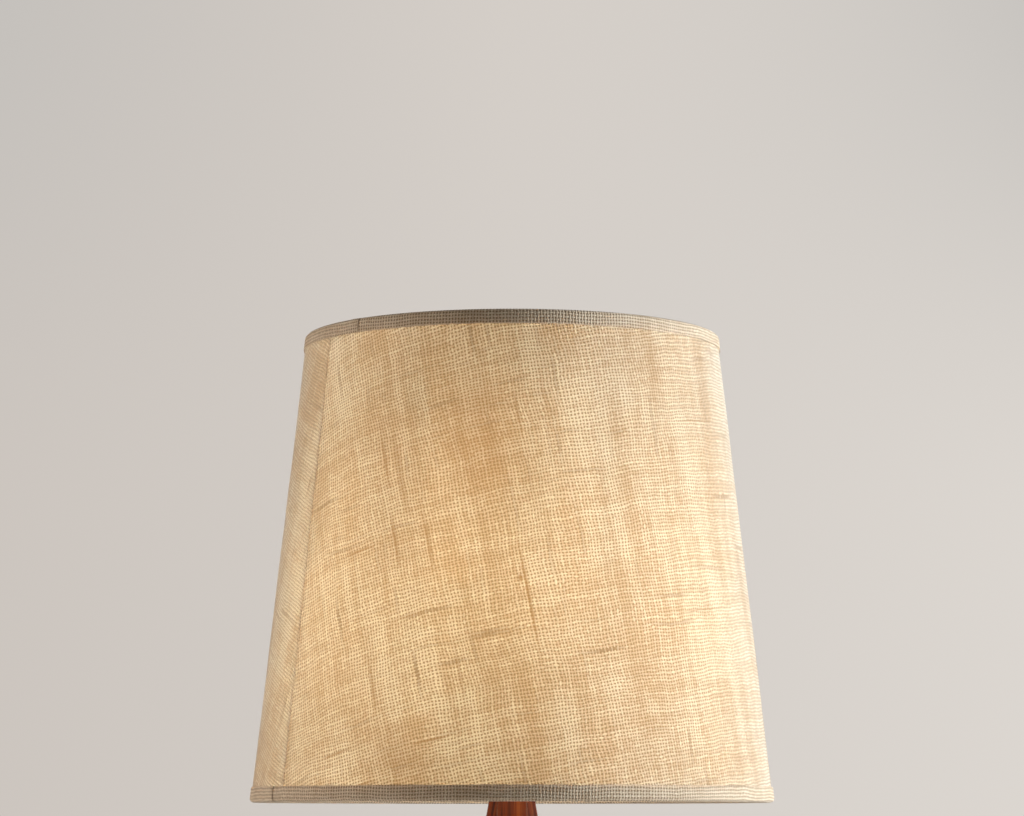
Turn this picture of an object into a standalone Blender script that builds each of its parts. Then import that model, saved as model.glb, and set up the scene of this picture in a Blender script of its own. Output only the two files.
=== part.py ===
"""Tripod floor lamp: three mitred wooden legs, a harp and socket on a pipe, and a tapered drum shade.

Metres, +Z up. The origin is on the floor under the middle of the tripod. The front is towards -Y.
"""
import bpy
import bmesh
from math import cos, pi, radians, sin, sqrt, tan
from mathutils import Matrix, Vector

# Overall sizes
RIM_HEIGHT = 1.062            # floor to the shade's bottom edge
SHADE_BOTTOM_RADIUS = 0.225
SHADE_TOP_RADIUS = 0.180
SHADE_HEIGHT = 0.403
LEG_SPLAY = radians(11.3)     # each leg's lean from the vertical

# Gaps and running clearances
GAP = 0.0003                  # between pieces that touch
BOLT_CLEARANCE = 0.0003       # round a shank in its hole
PIPE_CLEARANCE = 0.0004       # round the pipe in what it passes through
SLEEVE_CLEARANCE = 0.0004     # round a harp sleeve's prong and wire
STEM_CLEARANCE = 0.0004       # round the switch's stem

# Legs
LEG_WIDTH = 0.026             # square section where the legs meet
LEG_FOOT_WIDTH = 0.018        # square section at the floor
LEG_CLUSTER_RADIUS = 0.0164   # axis to a leg's outer face, at the height of the shade's bottom edge
LEG_RISE = 0.025              # how far the legs reach up inside the shade
LEG_EDGE = 0.0020             # rounding of the long edges
LEG_AZIMUTHS = {"front": -90, "back_right": 30, "back_left": 150}
MITRE = radians(60)           # half of the angle that each of three legs fills

# Hub block between the legs, and its bolts
HUB_WALL = 0.0032             # wood between the pipe's hole and a leg, at the block's top
HUB_HEIGHT = 0.073
HUB_CORNER_SHARE = 1.35       # corner face's distance over the leg face's distance
HUB_EDGE = 0.0012
BOLT_BELOW_HUB_TOP = 0.047    # where a bolt meets the block
TAPER_BELOW_HUB = 0.022       # where the legs start to narrow
BOLT_RADIUS = 0.0030
BOLT_HEAD_RADIUS = 0.0060
BOLT_HEAD_HEIGHT = 0.0036
BOLT_SOCKET_RADIUS = 0.0021   # across the corners of the hexagon socket
BOLT_SOCKET_DEPTH = 0.0020
INSERT_RADIUS = 0.0046
INSERT_LENGTH = 0.0090
BOLT_REACH = 0.0080           # how far the shank goes into its insert

# Feet
PAD_RADIUS = 0.0085
PAD_HEIGHT = 0.0060
FOOT_SCREW_RADIUS = 0.0015
FOOT_SCREW_HEAD_RADIUS = 0.0032
FOOT_SCREW_HEAD_HEIGHT = 0.0018
FOOT_SCREW_RECESS = 0.0015    # how far the head sits up inside the pad
FOOT_SCREW_LENGTH = 0.018
FOOT_SCREW_POINT = 0.003
PAD_CHAMFER = 0.0008

# Pipe and the pieces threaded on it
CUTTER_SPARE = 0.010          # how far a cutter runs past what it cuts
PIPE_RADIUS = 0.0050
PIPE_WALL = 0.0015
PIPE_BELOW_NUT = 0.006
WASHER_RADIUS = 0.0120
WASHER_THICKNESS = 0.0015
NUT_FLAT = 0.0075             # half of the width across the flats
NUT_HEIGHT = 0.0050
BUSHING_WALL = 0.0007
BUSHING_FLANGE = 0.0030
BUSHING_SPIGOT = 0.0080
TOP_CAP_RADIUS = 0.0195
TOP_CAP_THICKNESS = 0.0040
NECK_WALL = 0.0012            # at the waist
NECK_STEP = 0.0014            # how far the neck's ends stand out from its waist
NECK_HEIGHT = 0.0200

# Harp and its saddle
STRAP_THICKNESS = 0.0016
STRAP_WIDTH = 0.0050
SADDLE_BOSS_RADIUS = 0.0100
PRONG_SPACING = 0.0270        # axis to each prong
PRONG_HEIGHT = 0.0120
SHADE_RECESS = 0.0215         # the shade's top edge above the harp's seat
HARP_HALF_WIDTH = 0.0580
HARP_WIRE_RADIUS = 0.0020
HARP_STRAIGHT = 0.0340        # upright run above the saddle, where the sleeves slide
SLEEVE_LENGTH = 0.0180
SLEEVE_WALL = 0.0010
BOSS_RADIUS = 0.0055
BOSS_HEIGHT = 0.0080
STUD_RADIUS = 0.0030
STUD_RIVET_RADIUS = 0.0040
STUD_RIVET_HEIGHT = 0.0015
STUD_NECK_RADIUS = 0.0022
SEAT_RADIUS = 0.0075
SEAT_THICKNESS = 0.0016
STUD_LENGTH = 0.0150          # thread above the seat

# Socket
SOCKET_WALL = 0.0005
SOCKET_LAYER_GAP = 0.0003
SOCKET_SHELL_RADIUS = 0.0160
SOCKET_CAP_HEIGHT = 0.0160
SOCKET_CAP_FLOOR = 0.0015
SOCKET_SHELL_HEIGHT = 0.0440
SOCKET_BODY_HEIGHT = 0.0170
CONTACT_RADIUS = 0.0040
CONTACT_HEIGHT = 0.0020
TERMINAL_RADIUS = 0.0030
TERMINAL_HEIGHT = 0.0020
STEM_RADIUS = 0.0016
STEM_DEPTH = 0.0060           # how far the stem reaches into the socket's body
STEM_PROUD = 0.0150           # how far it reaches out past the shell
KNOB_RADIUS = 0.0070
KNOB_LENGTH = 0.0120
KNOB_GRIP_DEPTH = 0.0006
KNOB_STANDOFF = 0.0050

# Bulb
BULB_BASE_HEIGHT = 0.0200
BULB_INSULATOR_HEIGHT = 0.0040
BULB_TIP_RADIUS = 0.0045
BULB_TIP_HEIGHT = 0.0015
BULB_HOUSING_HEIGHT = 0.0380
BULB_RADIUS = 0.0300
BULB_GLOBE_HEIGHT = 0.0440
BULB_WALL = 0.0012
LED_BOARD_RADIUS = 0.0210
LED_BOARD_THICKNESS = 0.0016

# Shade
LINER_THICKNESS = 0.0006
FABRIC_THICKNESS = 0.0008
TRIM_THICKNESS = 0.0008
TRIM_WIDTH = 0.0128           # the band that shows outside
TRIM_RETURN = 0.0085          # the part folded over to the inside
RING_WIRE_RADIUS = 0.0018
HUB_RING_RADIUS = 0.0130
HUB_RING_THICKNESS = 0.0016
SPIDER_WIRE_RADIUS = 0.0018
SPIDER_AZIMUTHS = {"back": 90, "left": 210, "right": 330}

# Finial
FINIAL_RADIUS = 0.0065
FINIAL_HEIGHT = 0.0260
FINIAL_WALL_TOP = 0.0060      # solid metal above the thread

# Sides of round pieces
SHADE_SIDES = 60
PIECE_SIDES = 24
SMALL_SIDES = 16
WIRE_SIDES = 8
RING_WIRE_SIDES = 6
GLOBE_STEPS = 6

# Radii that follow from the pipe, and how far down the legs leave room for the hub
PIPE_HOLE = PIPE_RADIUS + PIPE_CLEARANCE
PIPE_BORE = PIPE_RADIUS - PIPE_WALL
BUSHING_BORE = PIPE_BORE - GAP - BUSHING_WALL
NECK_WAIST = PIPE_HOLE + NECK_WALL
NECK_RADIUS = NECK_WAIST + NECK_STEP
HUB_FACE = PIPE_HOLE + HUB_WALL + GAP
HUB_DROP = (HUB_FACE + LEG_WIDTH / cos(LEG_SPLAY) - LEG_CLUSTER_RADIUS) / tan(LEG_SPLAY)

# Heights that follow from the sizes above
LEG_TOP = RIM_HEIGHT + LEG_RISE
HUB_TOP_Z = RIM_HEIGHT - HUB_DROP
HUB_BOTTOM_Z = HUB_TOP_Z - HUB_HEIGHT
BOLT_Z = HUB_TOP_Z - BOLT_BELOW_HUB_TOP
TAPER_Z = HUB_BOTTOM_Z - TAPER_BELOW_HUB
WASHER_TOP_Z = HUB_BOTTOM_Z - GAP
NUT_TOP_Z = WASHER_TOP_Z - WASHER_THICKNESS - GAP
PIPE_BOTTOM_Z = NUT_TOP_Z - NUT_HEIGHT - PIPE_BELOW_NUT
CAP_Z = LEG_TOP + GAP
NECK_Z = CAP_Z + TOP_CAP_THICKNESS + GAP
SADDLE_Z = NECK_Z + NECK_HEIGHT + GAP
SADDLE_TOP_Z = SADDLE_Z + STRAP_THICKNESS
SOCKET_Z = SADDLE_TOP_Z + GAP
SHELL_Z = SOCKET_Z + SOCKET_CAP_HEIGHT + GAP
BODY_Z = SHELL_Z + GAP
SCREW_SHELL_Z = BODY_Z + SOCKET_BODY_HEIGHT + GAP
STEM_Z = BODY_Z + SOCKET_BODY_HEIGHT / 2
SEAT_Z = RIM_HEIGHT + SHADE_HEIGHT - SHADE_RECESS
HARP_HEIGHT = SEAT_Z - SADDLE_TOP_Z
SPIDER_HUB_Z = SEAT_Z + GAP
FINIAL_Z = SPIDER_HUB_Z + HUB_RING_THICKNESS + GAP
SHADE_TOP_Z = RIM_HEIGHT + SHADE_HEIGHT

# Radii of the socket's nested layers, from the shell inwards
INSULATOR_OUTER = SOCKET_SHELL_RADIUS - SOCKET_WALL - SOCKET_LAYER_GAP
SCREW_SHELL_OUTER = INSULATOR_OUTER - SOCKET_WALL - SOCKET_LAYER_GAP
BULB_BASE_RADIUS = SCREW_SHELL_OUTER - SOCKET_WALL - SOCKET_LAYER_GAP


def clear_scene():
    for item in list(bpy.data.objects):
        bpy.data.objects.remove(item, do_unlink=True)


def make_material(name, colour, roughness, metallic=0.0, alpha=1.0):
    material = bpy.data.materials.new(name)
    material.use_nodes = True
    shader = material.node_tree.nodes["Principled BSDF"]
    shader.inputs["Base Color"].default_value = (*colour, 1.0)
    shader.inputs["Roughness"].default_value = roughness
    shader.inputs["Metallic"].default_value = metallic
    shader.inputs["Alpha"].default_value = alpha
    return material


def add_object(name, mesh_data, material, parent=None):
    piece = bpy.data.objects.new(name, mesh_data)
    bpy.context.scene.collection.objects.link(piece)
    if material is not None and not mesh_data.materials:
        mesh_data.materials.append(material)
    piece.parent = parent
    return piece


def add_empty(name, location=(0.0, 0.0, 0.0), azimuth=0.0):
    empty = bpy.data.objects.new(name, None)
    bpy.context.scene.collection.objects.link(empty)
    empty.location = location
    empty.rotation_euler.z = azimuth
    return empty


def mesh_from(name, work, smooth_angle=radians(35)):
    """Turns a finished bmesh into mesh data, with its faces out and its round sides smooth."""
    bmesh.ops.recalc_face_normals(work, faces=work.faces)
    mesh_data = bpy.data.meshes.new(name)
    work.to_mesh(mesh_data)
    work.free()
    mesh_data.shade_smooth()
    mesh_data.set_sharp_from_angle(angle=smooth_angle)
    return mesh_data


def turned_mesh(name, outline, sides=PIECE_SIDES, closed=True):
    """Spins an outline of (radius, height) points round Z. An open outline starts and ends on the axis."""
    work = bmesh.new()
    verts = [work.verts.new((radius, 0.0, height)) for radius, height in outline]
    pairs = list(zip(verts, verts[1:]))
    if closed:
        pairs.append((verts[-1], verts[0]))
    edges = [work.edges.new(pair) for pair in pairs]
    bmesh.ops.spin(work, geom=verts + edges, cent=(0, 0, 0), axis=(0, 0, 1),
                   angle=2 * pi, steps=sides, use_merge=True)
    bmesh.ops.remove_doubles(work, verts=work.verts, dist=1e-7)
    return mesh_from(name, work)


def tube_mesh(name, outer, inner, low, high, sides=PIECE_SIDES):
    return turned_mesh(name, [(outer, low), (outer, high), (inner, high), (inner, low)], sides)


def rod_mesh(name, radius, low, high, sides=PIECE_SIDES):
    return turned_mesh(name, [(0, low), (radius, low), (radius, high), (0, high)], sides, closed=False)


def swept_rod_mesh(name, points, radius, sides=WIRE_SIDES):
    """A round rod along a path that stays in one plane through the Z axis (the XZ plane)."""
    work = bmesh.new()
    rings = []
    for index, point in enumerate(points):
        before = points[max(index - 1, 0)]
        after = points[min(index + 1, len(points) - 1)]
        tangent = (after - before).normalized()
        side = Vector((0, 1, 0))
        up = tangent.cross(side)
        turns = [2 * pi * step / sides for step in range(sides)]
        ring = [work.verts.new(point + radius * (cos(t) * side + sin(t) * up)) for t in turns]
        rings.append(ring)
    for low, high in zip(rings, rings[1:]):
        for step in range(sides):
            other = (step + 1) % sides
            work.faces.new((low[step], low[other], high[other], high[step]))
    work.faces.new(rings[0])
    work.faces.new(rings[-1])
    return mesh_from(name, work)


def bezier(start, handle_a, handle_b, end, steps):
    """Points along one cubic curve, without its last point."""
    points = []
    for step in range(steps):
        t = step / steps
        s = 1 - t
        points.append(s**3 * start + 3 * s * s * t * handle_a + 3 * s * t * t * handle_b + t**3 * end)
    return points


def in_xz(radius, height):
    return Vector((radius, 0.0, height))


def cut(piece, name, cutter_mesh, placement=None, operation="DIFFERENCE"):
    """Cuts a piece with a hidden cutter (or joins a shape to it), by a Boolean that stays on the piece."""
    cutter = add_object(name, cutter_mesh, None)
    if placement is not None:
        cutter.matrix_world = placement
    cutter.hide_render = True
    cutter.display_type = "WIRE"
    boolean = piece.modifiers.new(name, "BOOLEAN")
    boolean.operation = operation
    boolean.solver = "EXACT"
    boolean.object = cutter


# ---------------------------------------------------------------- legs

def leg_outer(height):
    """Axis to a leg's outer face at a height."""
    return LEG_CLUSTER_RADIUS + (RIM_HEIGHT - height) * tan(LEG_SPLAY)


def leg_inner(height):
    return leg_outer(height) - leg_depth(height) / cos(LEG_SPLAY)


def leg_depth(height):
    """The square section's side at a height: full size at the top, tapering to the foot."""
    share = min(max((TAPER_Z - height) / (TAPER_Z - PAD_HEIGHT), 0.0), 1.0)
    return LEG_WIDTH + (LEG_FOOT_WIDTH - LEG_WIDTH) * share


def leg_mesh():
    """One leg, leaning out along +X, with its head mitred to meet its two neighbours."""
    work = bmesh.new()
    rings = []
    for height in (LEG_TOP, TAPER_Z, PAD_HEIGHT + GAP):
        half = leg_depth(height) / 2
        corners = [(leg_outer(height), -half), (leg_outer(height), half),
                   (leg_inner(height), half), (leg_inner(height), -half)]
        rings.append([work.verts.new((x, y, height)) for x, y in corners])
    for upper, lower in zip(rings, rings[1:]):
        for side in range(4):
            other = (side + 1) % 4
            work.faces.new((upper[side], upper[other], lower[other], lower[side]))
    work.faces.new(rings[0])
    work.faces.new(rings[-1])
    long_edges = [edge for edge in work.edges
                  if abs(edge.verts[0].co.z - edge.verts[1].co.z) > LEG_WIDTH]
    bmesh.ops.bevel(work, geom=long_edges, offset=LEG_EDGE, segments=2, profile=0.5,
                    affect="EDGES", clamp_overlap=True)
    for turn in (1, -1):
        normal = Vector((-sin(MITRE), turn * cos(MITRE), 0))
        everything = work.verts[:] + work.edges[:] + work.faces[:]
        bmesh.ops.bisect_plane(work, geom=everything, plane_co=-normal * GAP / 2,
                               plane_no=normal, clear_outer=True)
        rim = [edge for edge in work.edges if edge.is_boundary]
        bmesh.ops.holes_fill(work, edges=rim, sides=0)
    return mesh_from("leg", work)


def across_leg(distance_from_hub_face):
    """Where a leg's bolt axis is, as a matrix whose +Z points out of the leg's outer face."""
    outward = Vector((cos(LEG_SPLAY), 0, sin(LEG_SPLAY)))
    origin = in_xz(leg_inner(BOLT_Z), BOLT_Z) + outward * distance_from_hub_face
    turn = Matrix.Rotation(pi / 2 - LEG_SPLAY, 4, "Y")
    return Matrix.Translation(origin) @ turn


def bolt_mesh():
    """A domed socket-head bolt. The origin is under the head and the shank runs down."""
    shank = leg_depth(BOLT_Z) + GAP + BOLT_REACH
    rise = [(BOLT_HEAD_RADIUS * cos(a), BOLT_HEAD_HEIGHT * sin(a) * 0.7 + BOLT_HEAD_HEIGHT * 0.3)
            for a in (0.0, pi / 8, pi / 4, 3 * pi / 8)]
    outline = [(0, -shank), (BOLT_RADIUS, -shank), (BOLT_RADIUS, 0), (BOLT_HEAD_RADIUS, 0)]
    return turned_mesh("leg_bolt", outline + rise + [(0, BOLT_HEAD_HEIGHT)], SMALL_SIDES, closed=False)


def build_legs(wood, metal, brass, rubber):
    leg_data = leg_mesh()
    bolt_data = bolt_mesh()
    outer = INSERT_RADIUS
    bore = BOLT_RADIUS + BOLT_CLEARANCE
    insert_data = tube_mesh("bolt_insert", outer, bore, -INSERT_LENGTH, -GAP, SMALL_SIDES)
    screw_hole = FOOT_SCREW_RADIUS + BOLT_CLEARANCE
    head_hole = FOOT_SCREW_HEAD_RADIUS + BOLT_CLEARANCE
    head_top = FOOT_SCREW_RECESS + FOOT_SCREW_HEAD_HEIGHT
    pad_data = turned_mesh("foot_pad", [
        (head_hole, 0), (PAD_RADIUS - PAD_CHAMFER, 0), (PAD_RADIUS, PAD_CHAMFER), (PAD_RADIUS, PAD_HEIGHT),
        (screw_hole, PAD_HEIGHT), (screw_hole, head_top + GAP), (head_hole, head_top + GAP)], PIECE_SIDES)
    screw_data = turned_mesh("foot_screw", [
        (0, FOOT_SCREW_RECESS), (FOOT_SCREW_HEAD_RADIUS, FOOT_SCREW_RECESS),
        (FOOT_SCREW_HEAD_RADIUS, head_top), (FOOT_SCREW_RADIUS, head_top),
        (FOOT_SCREW_RADIUS, FOOT_SCREW_LENGTH - FOOT_SCREW_POINT), (0, FOOT_SCREW_LENGTH)],
        SMALL_SIDES, closed=False)
    foot_x = (leg_outer(PAD_HEIGHT) + leg_inner(PAD_HEIGHT)) / 2
    head_seat = leg_depth(BOLT_Z) + GAP
    for name, degrees in LEG_AZIMUTHS.items():
        place = add_empty("place_" + name, azimuth=radians(degrees))
        turn = Matrix.Rotation(radians(degrees), 4, "Z")
        leg = add_object("leg_" + name, leg_data, wood, place)
        bore_low = HUB_TOP_Z - LEG_WIDTH
        cut(leg, "bore_" + name, rod_mesh("bore", PIPE_HOLE, bore_low, LEG_TOP + LEG_WIDTH, SMALL_SIDES))
        shank_hole = rod_mesh("shank_hole", bore, -LEG_WIDTH, 2 * LEG_WIDTH, SMALL_SIDES)
        cut(leg, "shank_hole_" + name, shank_hole, turn @ across_leg(0))
        pilot = rod_mesh("pilot", screw_hole, 0, FOOT_SCREW_LENGTH + FOOT_SCREW_POINT, SMALL_SIDES)
        cut(leg, "pilot_" + name, pilot, turn @ Matrix.Translation(in_xz(foot_x, 0)))
        bolt = add_object("leg_bolt_" + name, bolt_data, metal, place)
        bolt.matrix_local = across_leg(head_seat)
        socket_low = BOLT_HEAD_HEIGHT - BOLT_SOCKET_DEPTH
        key = rod_mesh("key", BOLT_SOCKET_RADIUS, socket_low, 2 * BOLT_HEAD_HEIGHT, 6)
        cut(bolt, "key_" + name, key, turn @ across_leg(head_seat))
        insert = add_object("bolt_insert_" + name, insert_data, brass, place)
        insert.matrix_local = across_leg(-GAP)
        pad = add_object("foot_pad_" + name, pad_data, rubber, place)
        pad.location = (foot_x, 0, 0)
        screw = add_object("foot_screw_" + name, screw_data, metal, place)
        screw.location = (foot_x, 0, 0)


def hub_ring(work, height):
    """The hub block's six-sided section: three faces against the legs and three corner faces."""
    near = leg_inner(height) - GAP
    far = near * HUB_CORNER_SHARE
    along_near = (far - near * cos(MITRE)) / sin(MITRE)
    ring = []
    for degrees in sorted(angle % 360 for angle in LEG_AZIMUTHS.values()):
        turn = Matrix.Rotation(radians(degrees), 3, "Z")
        for side in (-1, 1):
            ring.append(work.verts.new(turn @ Vector((near, side * along_near, height))))
    return ring


def build_hub(wood):
    work = bmesh.new()
    upper = hub_ring(work, HUB_TOP_Z)
    lower = hub_ring(work, HUB_BOTTOM_Z)
    for side in range(6):
        other = (side + 1) % 6
        work.faces.new((upper[side], upper[other], lower[other], lower[side]))
    work.faces.new(upper)
    work.faces.new(lower)
    bmesh.ops.bevel(work, geom=work.edges[:], offset=HUB_EDGE, segments=1, affect="EDGES")
    hub = add_object("hub_block", mesh_from("hub_block", work), wood)
    bore = rod_mesh("hub_bore", PIPE_HOLE, HUB_BOTTOM_Z - CUTTER_SPARE, HUB_TOP_Z + CUTTER_SPARE)
    cut(hub, "hub_bore", bore)
    pocket_radius = INSERT_RADIUS + BOLT_CLEARANCE
    for name, degrees in LEG_AZIMUTHS.items():
        turn = Matrix.Rotation(radians(degrees), 4, "Z")
        pocket = rod_mesh("pocket", pocket_radius, -INSERT_LENGTH - 2 * GAP, LEG_WIDTH, SMALL_SIDES)
        cut(hub, "pocket_" + name, pocket, turn @ across_leg(-GAP))


# ---------------------------------------------------------------- pipe and what is threaded on it

def hexagon_nut_mesh(name, flat, height, hole):
    """A hexagon nut, standing on z = 0, with a round hole through it."""
    work = bmesh.new()
    corner = flat / cos(pi / 6)
    bmesh.ops.create_cone(work, cap_ends=True, segments=6, radius1=corner, radius2=corner, depth=height)
    bmesh.ops.translate(work, verts=work.verts, vec=(0, 0, height / 2))
    for face in [face for face in work.faces if len(face.verts) == 6]:
        bmesh.ops.delete(work, geom=[face], context="FACES_ONLY")
    loops = []
    for level in (0.0, height):
        turns = [2 * pi * step / SMALL_SIDES for step in range(SMALL_SIDES)]
        loop = [work.verts.new((hole * cos(t), hole * sin(t), level)) for t in turns]
        loops.append(loop)
        outside = [v for v in work.verts if abs(v.co.z - level) < 1e-6 and v not in loop]
        edges = [work.edges.new((a, b)) for a, b in zip(loop, loop[1:] + loop[:1])]
        edges += [e for e in work.edges if e.verts[0] in outside and e.verts[1] in outside]
        bmesh.ops.triangle_fill(work, edges=edges, use_beauty=True)
    for step in range(SMALL_SIDES):
        other = (step + 1) % SMALL_SIDES
        work.faces.new((loops[0][step], loops[0][other], loops[1][other], loops[1][step]))
    return mesh_from(name, work)


def build_pipe(steel, brass, plastic):
    pipe_top = SOCKET_Z + SOCKET_CAP_FLOOR + GAP * 8
    add_object("lamp_pipe", tube_mesh("lamp_pipe", PIPE_RADIUS, PIPE_BORE, PIPE_BOTTOM_Z, pipe_top), steel)
    washer_low = WASHER_TOP_Z - WASHER_THICKNESS
    washer = tube_mesh("lower_washer", WASHER_RADIUS, PIPE_HOLE, washer_low, WASHER_TOP_Z)
    add_object("lower_washer", washer, steel)
    nut = add_object("lower_nut", hexagon_nut_mesh("lower_nut", NUT_FLAT, NUT_HEIGHT, PIPE_HOLE), brass)
    nut.location.z = NUT_TOP_Z - NUT_HEIGHT
    spigot = PIPE_BORE - GAP
    flange_top = PIPE_BOTTOM_Z - GAP
    flange_low = flange_top - BUSHING_FLANGE
    bushing = turned_mesh("cord_bushing", [
        (BUSHING_BORE, flange_low), (PIPE_RADIUS - 0.001, flange_low), (PIPE_RADIUS, flange_low + 0.001),
        (PIPE_RADIUS, flange_top), (spigot, flange_top), (spigot, flange_top + BUSHING_SPIGOT),
        (BUSHING_BORE, flange_top + BUSHING_SPIGOT)])
    add_object("cord_bushing", bushing, plastic)
    edge = TOP_CAP_THICKNESS * 0.4
    cap = turned_mesh("top_cap", [
        (PIPE_HOLE, 0), (TOP_CAP_RADIUS, 0), (TOP_CAP_RADIUS, TOP_CAP_THICKNESS - edge),
        (TOP_CAP_RADIUS - edge * 0.4, TOP_CAP_THICKNESS - edge * 0.3),
        (TOP_CAP_RADIUS - edge, TOP_CAP_THICKNESS), (PIPE_HOLE, TOP_CAP_THICKNESS)])
    add_object("top_cap", cap, brass).location.z = CAP_Z
    neck = turned_mesh("neck_spacer", [
        (PIPE_HOLE, 0), (NECK_RADIUS, 0), (NECK_RADIUS, NECK_HEIGHT * 0.15),
        (NECK_WAIST, NECK_HEIGHT * 0.3), (NECK_WAIST, NECK_HEIGHT * 0.7),
        (NECK_RADIUS, NECK_HEIGHT * 0.85), (NECK_RADIUS, NECK_HEIGHT), (PIPE_HOLE, NECK_HEIGHT)])
    add_object("neck_spacer", neck, brass).location.z = NECK_Z


# ---------------------------------------------------------------- harp

def harp_points(wire_top_z):
    """The harp's path from its left end, over the top, to its right end."""
    end_z = SADDLE_TOP_Z + PRONG_HEIGHT + GAP
    straight_z = SADDLE_TOP_Z + HARP_STRAIGHT
    widest_z = SADDLE_TOP_Z + HARP_HEIGHT * 0.46
    half = [in_xz(PRONG_SPACING, end_z)]
    half += bezier(in_xz(PRONG_SPACING, straight_z), in_xz(PRONG_SPACING, straight_z + HARP_HEIGHT * 0.12),
                   in_xz(HARP_HALF_WIDTH, widest_z - HARP_HEIGHT * 0.18), in_xz(HARP_HALF_WIDTH, widest_z), 8)
    half += bezier(in_xz(HARP_HALF_WIDTH, widest_z), in_xz(HARP_HALF_WIDTH, widest_z + HARP_HEIGHT / 3),
                   in_xz(HARP_HALF_WIDTH * 0.80, wire_top_z), in_xz(BOSS_RADIUS, wire_top_z), 13)
    half.append(in_xz(BOSS_RADIUS, wire_top_z))
    left = [Vector((-point.x, 0, point.z)) for point in half]
    return left + half[::-1]


def build_harp(steel, brass):
    outer = PRONG_SPACING + STRAP_THICKNESS / 2
    inner = PRONG_SPACING - STRAP_THICKNESS / 2
    top = SADDLE_TOP_Z + PRONG_HEIGHT
    outline = [(-outer, SADDLE_Z), (outer, SADDLE_Z), (outer, top), (inner, top),
               (inner, SADDLE_TOP_Z), (-inner, SADDLE_TOP_Z), (-inner, top), (-outer, top)]
    work = bmesh.new()
    face = work.faces.new([work.verts.new((x, -STRAP_WIDTH / 2, z)) for x, z in outline])
    grown = bmesh.ops.extrude_face_region(work, geom=[face])["geom"]
    moved = [item for item in grown if isinstance(item, bmesh.types.BMVert)]
    bmesh.ops.translate(work, verts=moved, vec=(0, STRAP_WIDTH, 0))
    saddle = add_object("harp_saddle", mesh_from("harp_saddle", work), steel)
    lip = GAP / 3
    disc = rod_mesh("saddle_boss", SADDLE_BOSS_RADIUS, SADDLE_Z - lip, SADDLE_TOP_Z + lip)
    cut(saddle, "saddle_boss", disc, operation="UNION")
    hole = rod_mesh("saddle_hole", PIPE_HOLE, SADDLE_Z - CUTTER_SPARE, SADDLE_TOP_Z + CUTTER_SPARE)
    cut(saddle, "saddle_hole", hole)

    boss_top = SEAT_Z - SEAT_THICKNESS - GAP
    boss_low = boss_top - BOSS_HEIGHT
    wire_top_z = (boss_top + boss_low) / 2
    loop = swept_rod_mesh("harp_loop", harp_points(wire_top_z), HARP_WIRE_RADIUS)
    harp = add_object("harp_loop", loop, steel)
    cut(harp, "harp_boss", rod_mesh("harp_boss", BOSS_RADIUS, boss_low, boss_top), operation="UNION")
    stud_hole = STUD_NECK_RADIUS + BOLT_CLEARANCE
    drill = rod_mesh("stud_hole", stud_hole, boss_low - CUTTER_SPARE, boss_top + CUTTER_SPARE, SMALL_SIDES)
    cut(harp, "stud_hole", drill)

    rivet_top = boss_low - GAP
    stud = turned_mesh("harp_stud", [
        (0, rivet_top - STUD_RIVET_HEIGHT), (STUD_RIVET_RADIUS, rivet_top - STUD_RIVET_HEIGHT),
        (STUD_RIVET_RADIUS, rivet_top), (STUD_NECK_RADIUS, rivet_top),
        (STUD_NECK_RADIUS, boss_top + GAP), (SEAT_RADIUS, boss_top + GAP), (SEAT_RADIUS, SEAT_Z),
        (STUD_RADIUS, SEAT_Z), (STUD_RADIUS, SEAT_Z + STUD_LENGTH), (0, SEAT_Z + STUD_LENGTH)],
        SMALL_SIDES, closed=False)
    add_object("harp_stud", stud, steel)

    prong_corner = sqrt((STRAP_WIDTH / 2) ** 2 + (STRAP_THICKNESS / 2) ** 2)
    bore = max(prong_corner, HARP_WIRE_RADIUS) + SLEEVE_CLEARANCE
    flare = SLEEVE_WALL * 0.5
    outside = bore + SLEEVE_WALL
    sleeve = turned_mesh("harp_sleeve", [
        (bore, 0), (outside + flare, 0), (outside + flare, flare * 3), (outside, flare * 5),
        (outside, SLEEVE_LENGTH - flare), (outside - flare, SLEEVE_LENGTH), (bore, SLEEVE_LENGTH)])
    for side, turn in (("left", -1), ("right", 1)):
        piece = add_object("harp_sleeve_" + side, sleeve, brass)
        piece.location = (turn * PRONG_SPACING, 0, SADDLE_TOP_Z + GAP)


# ---------------------------------------------------------------- socket and switch

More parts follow.
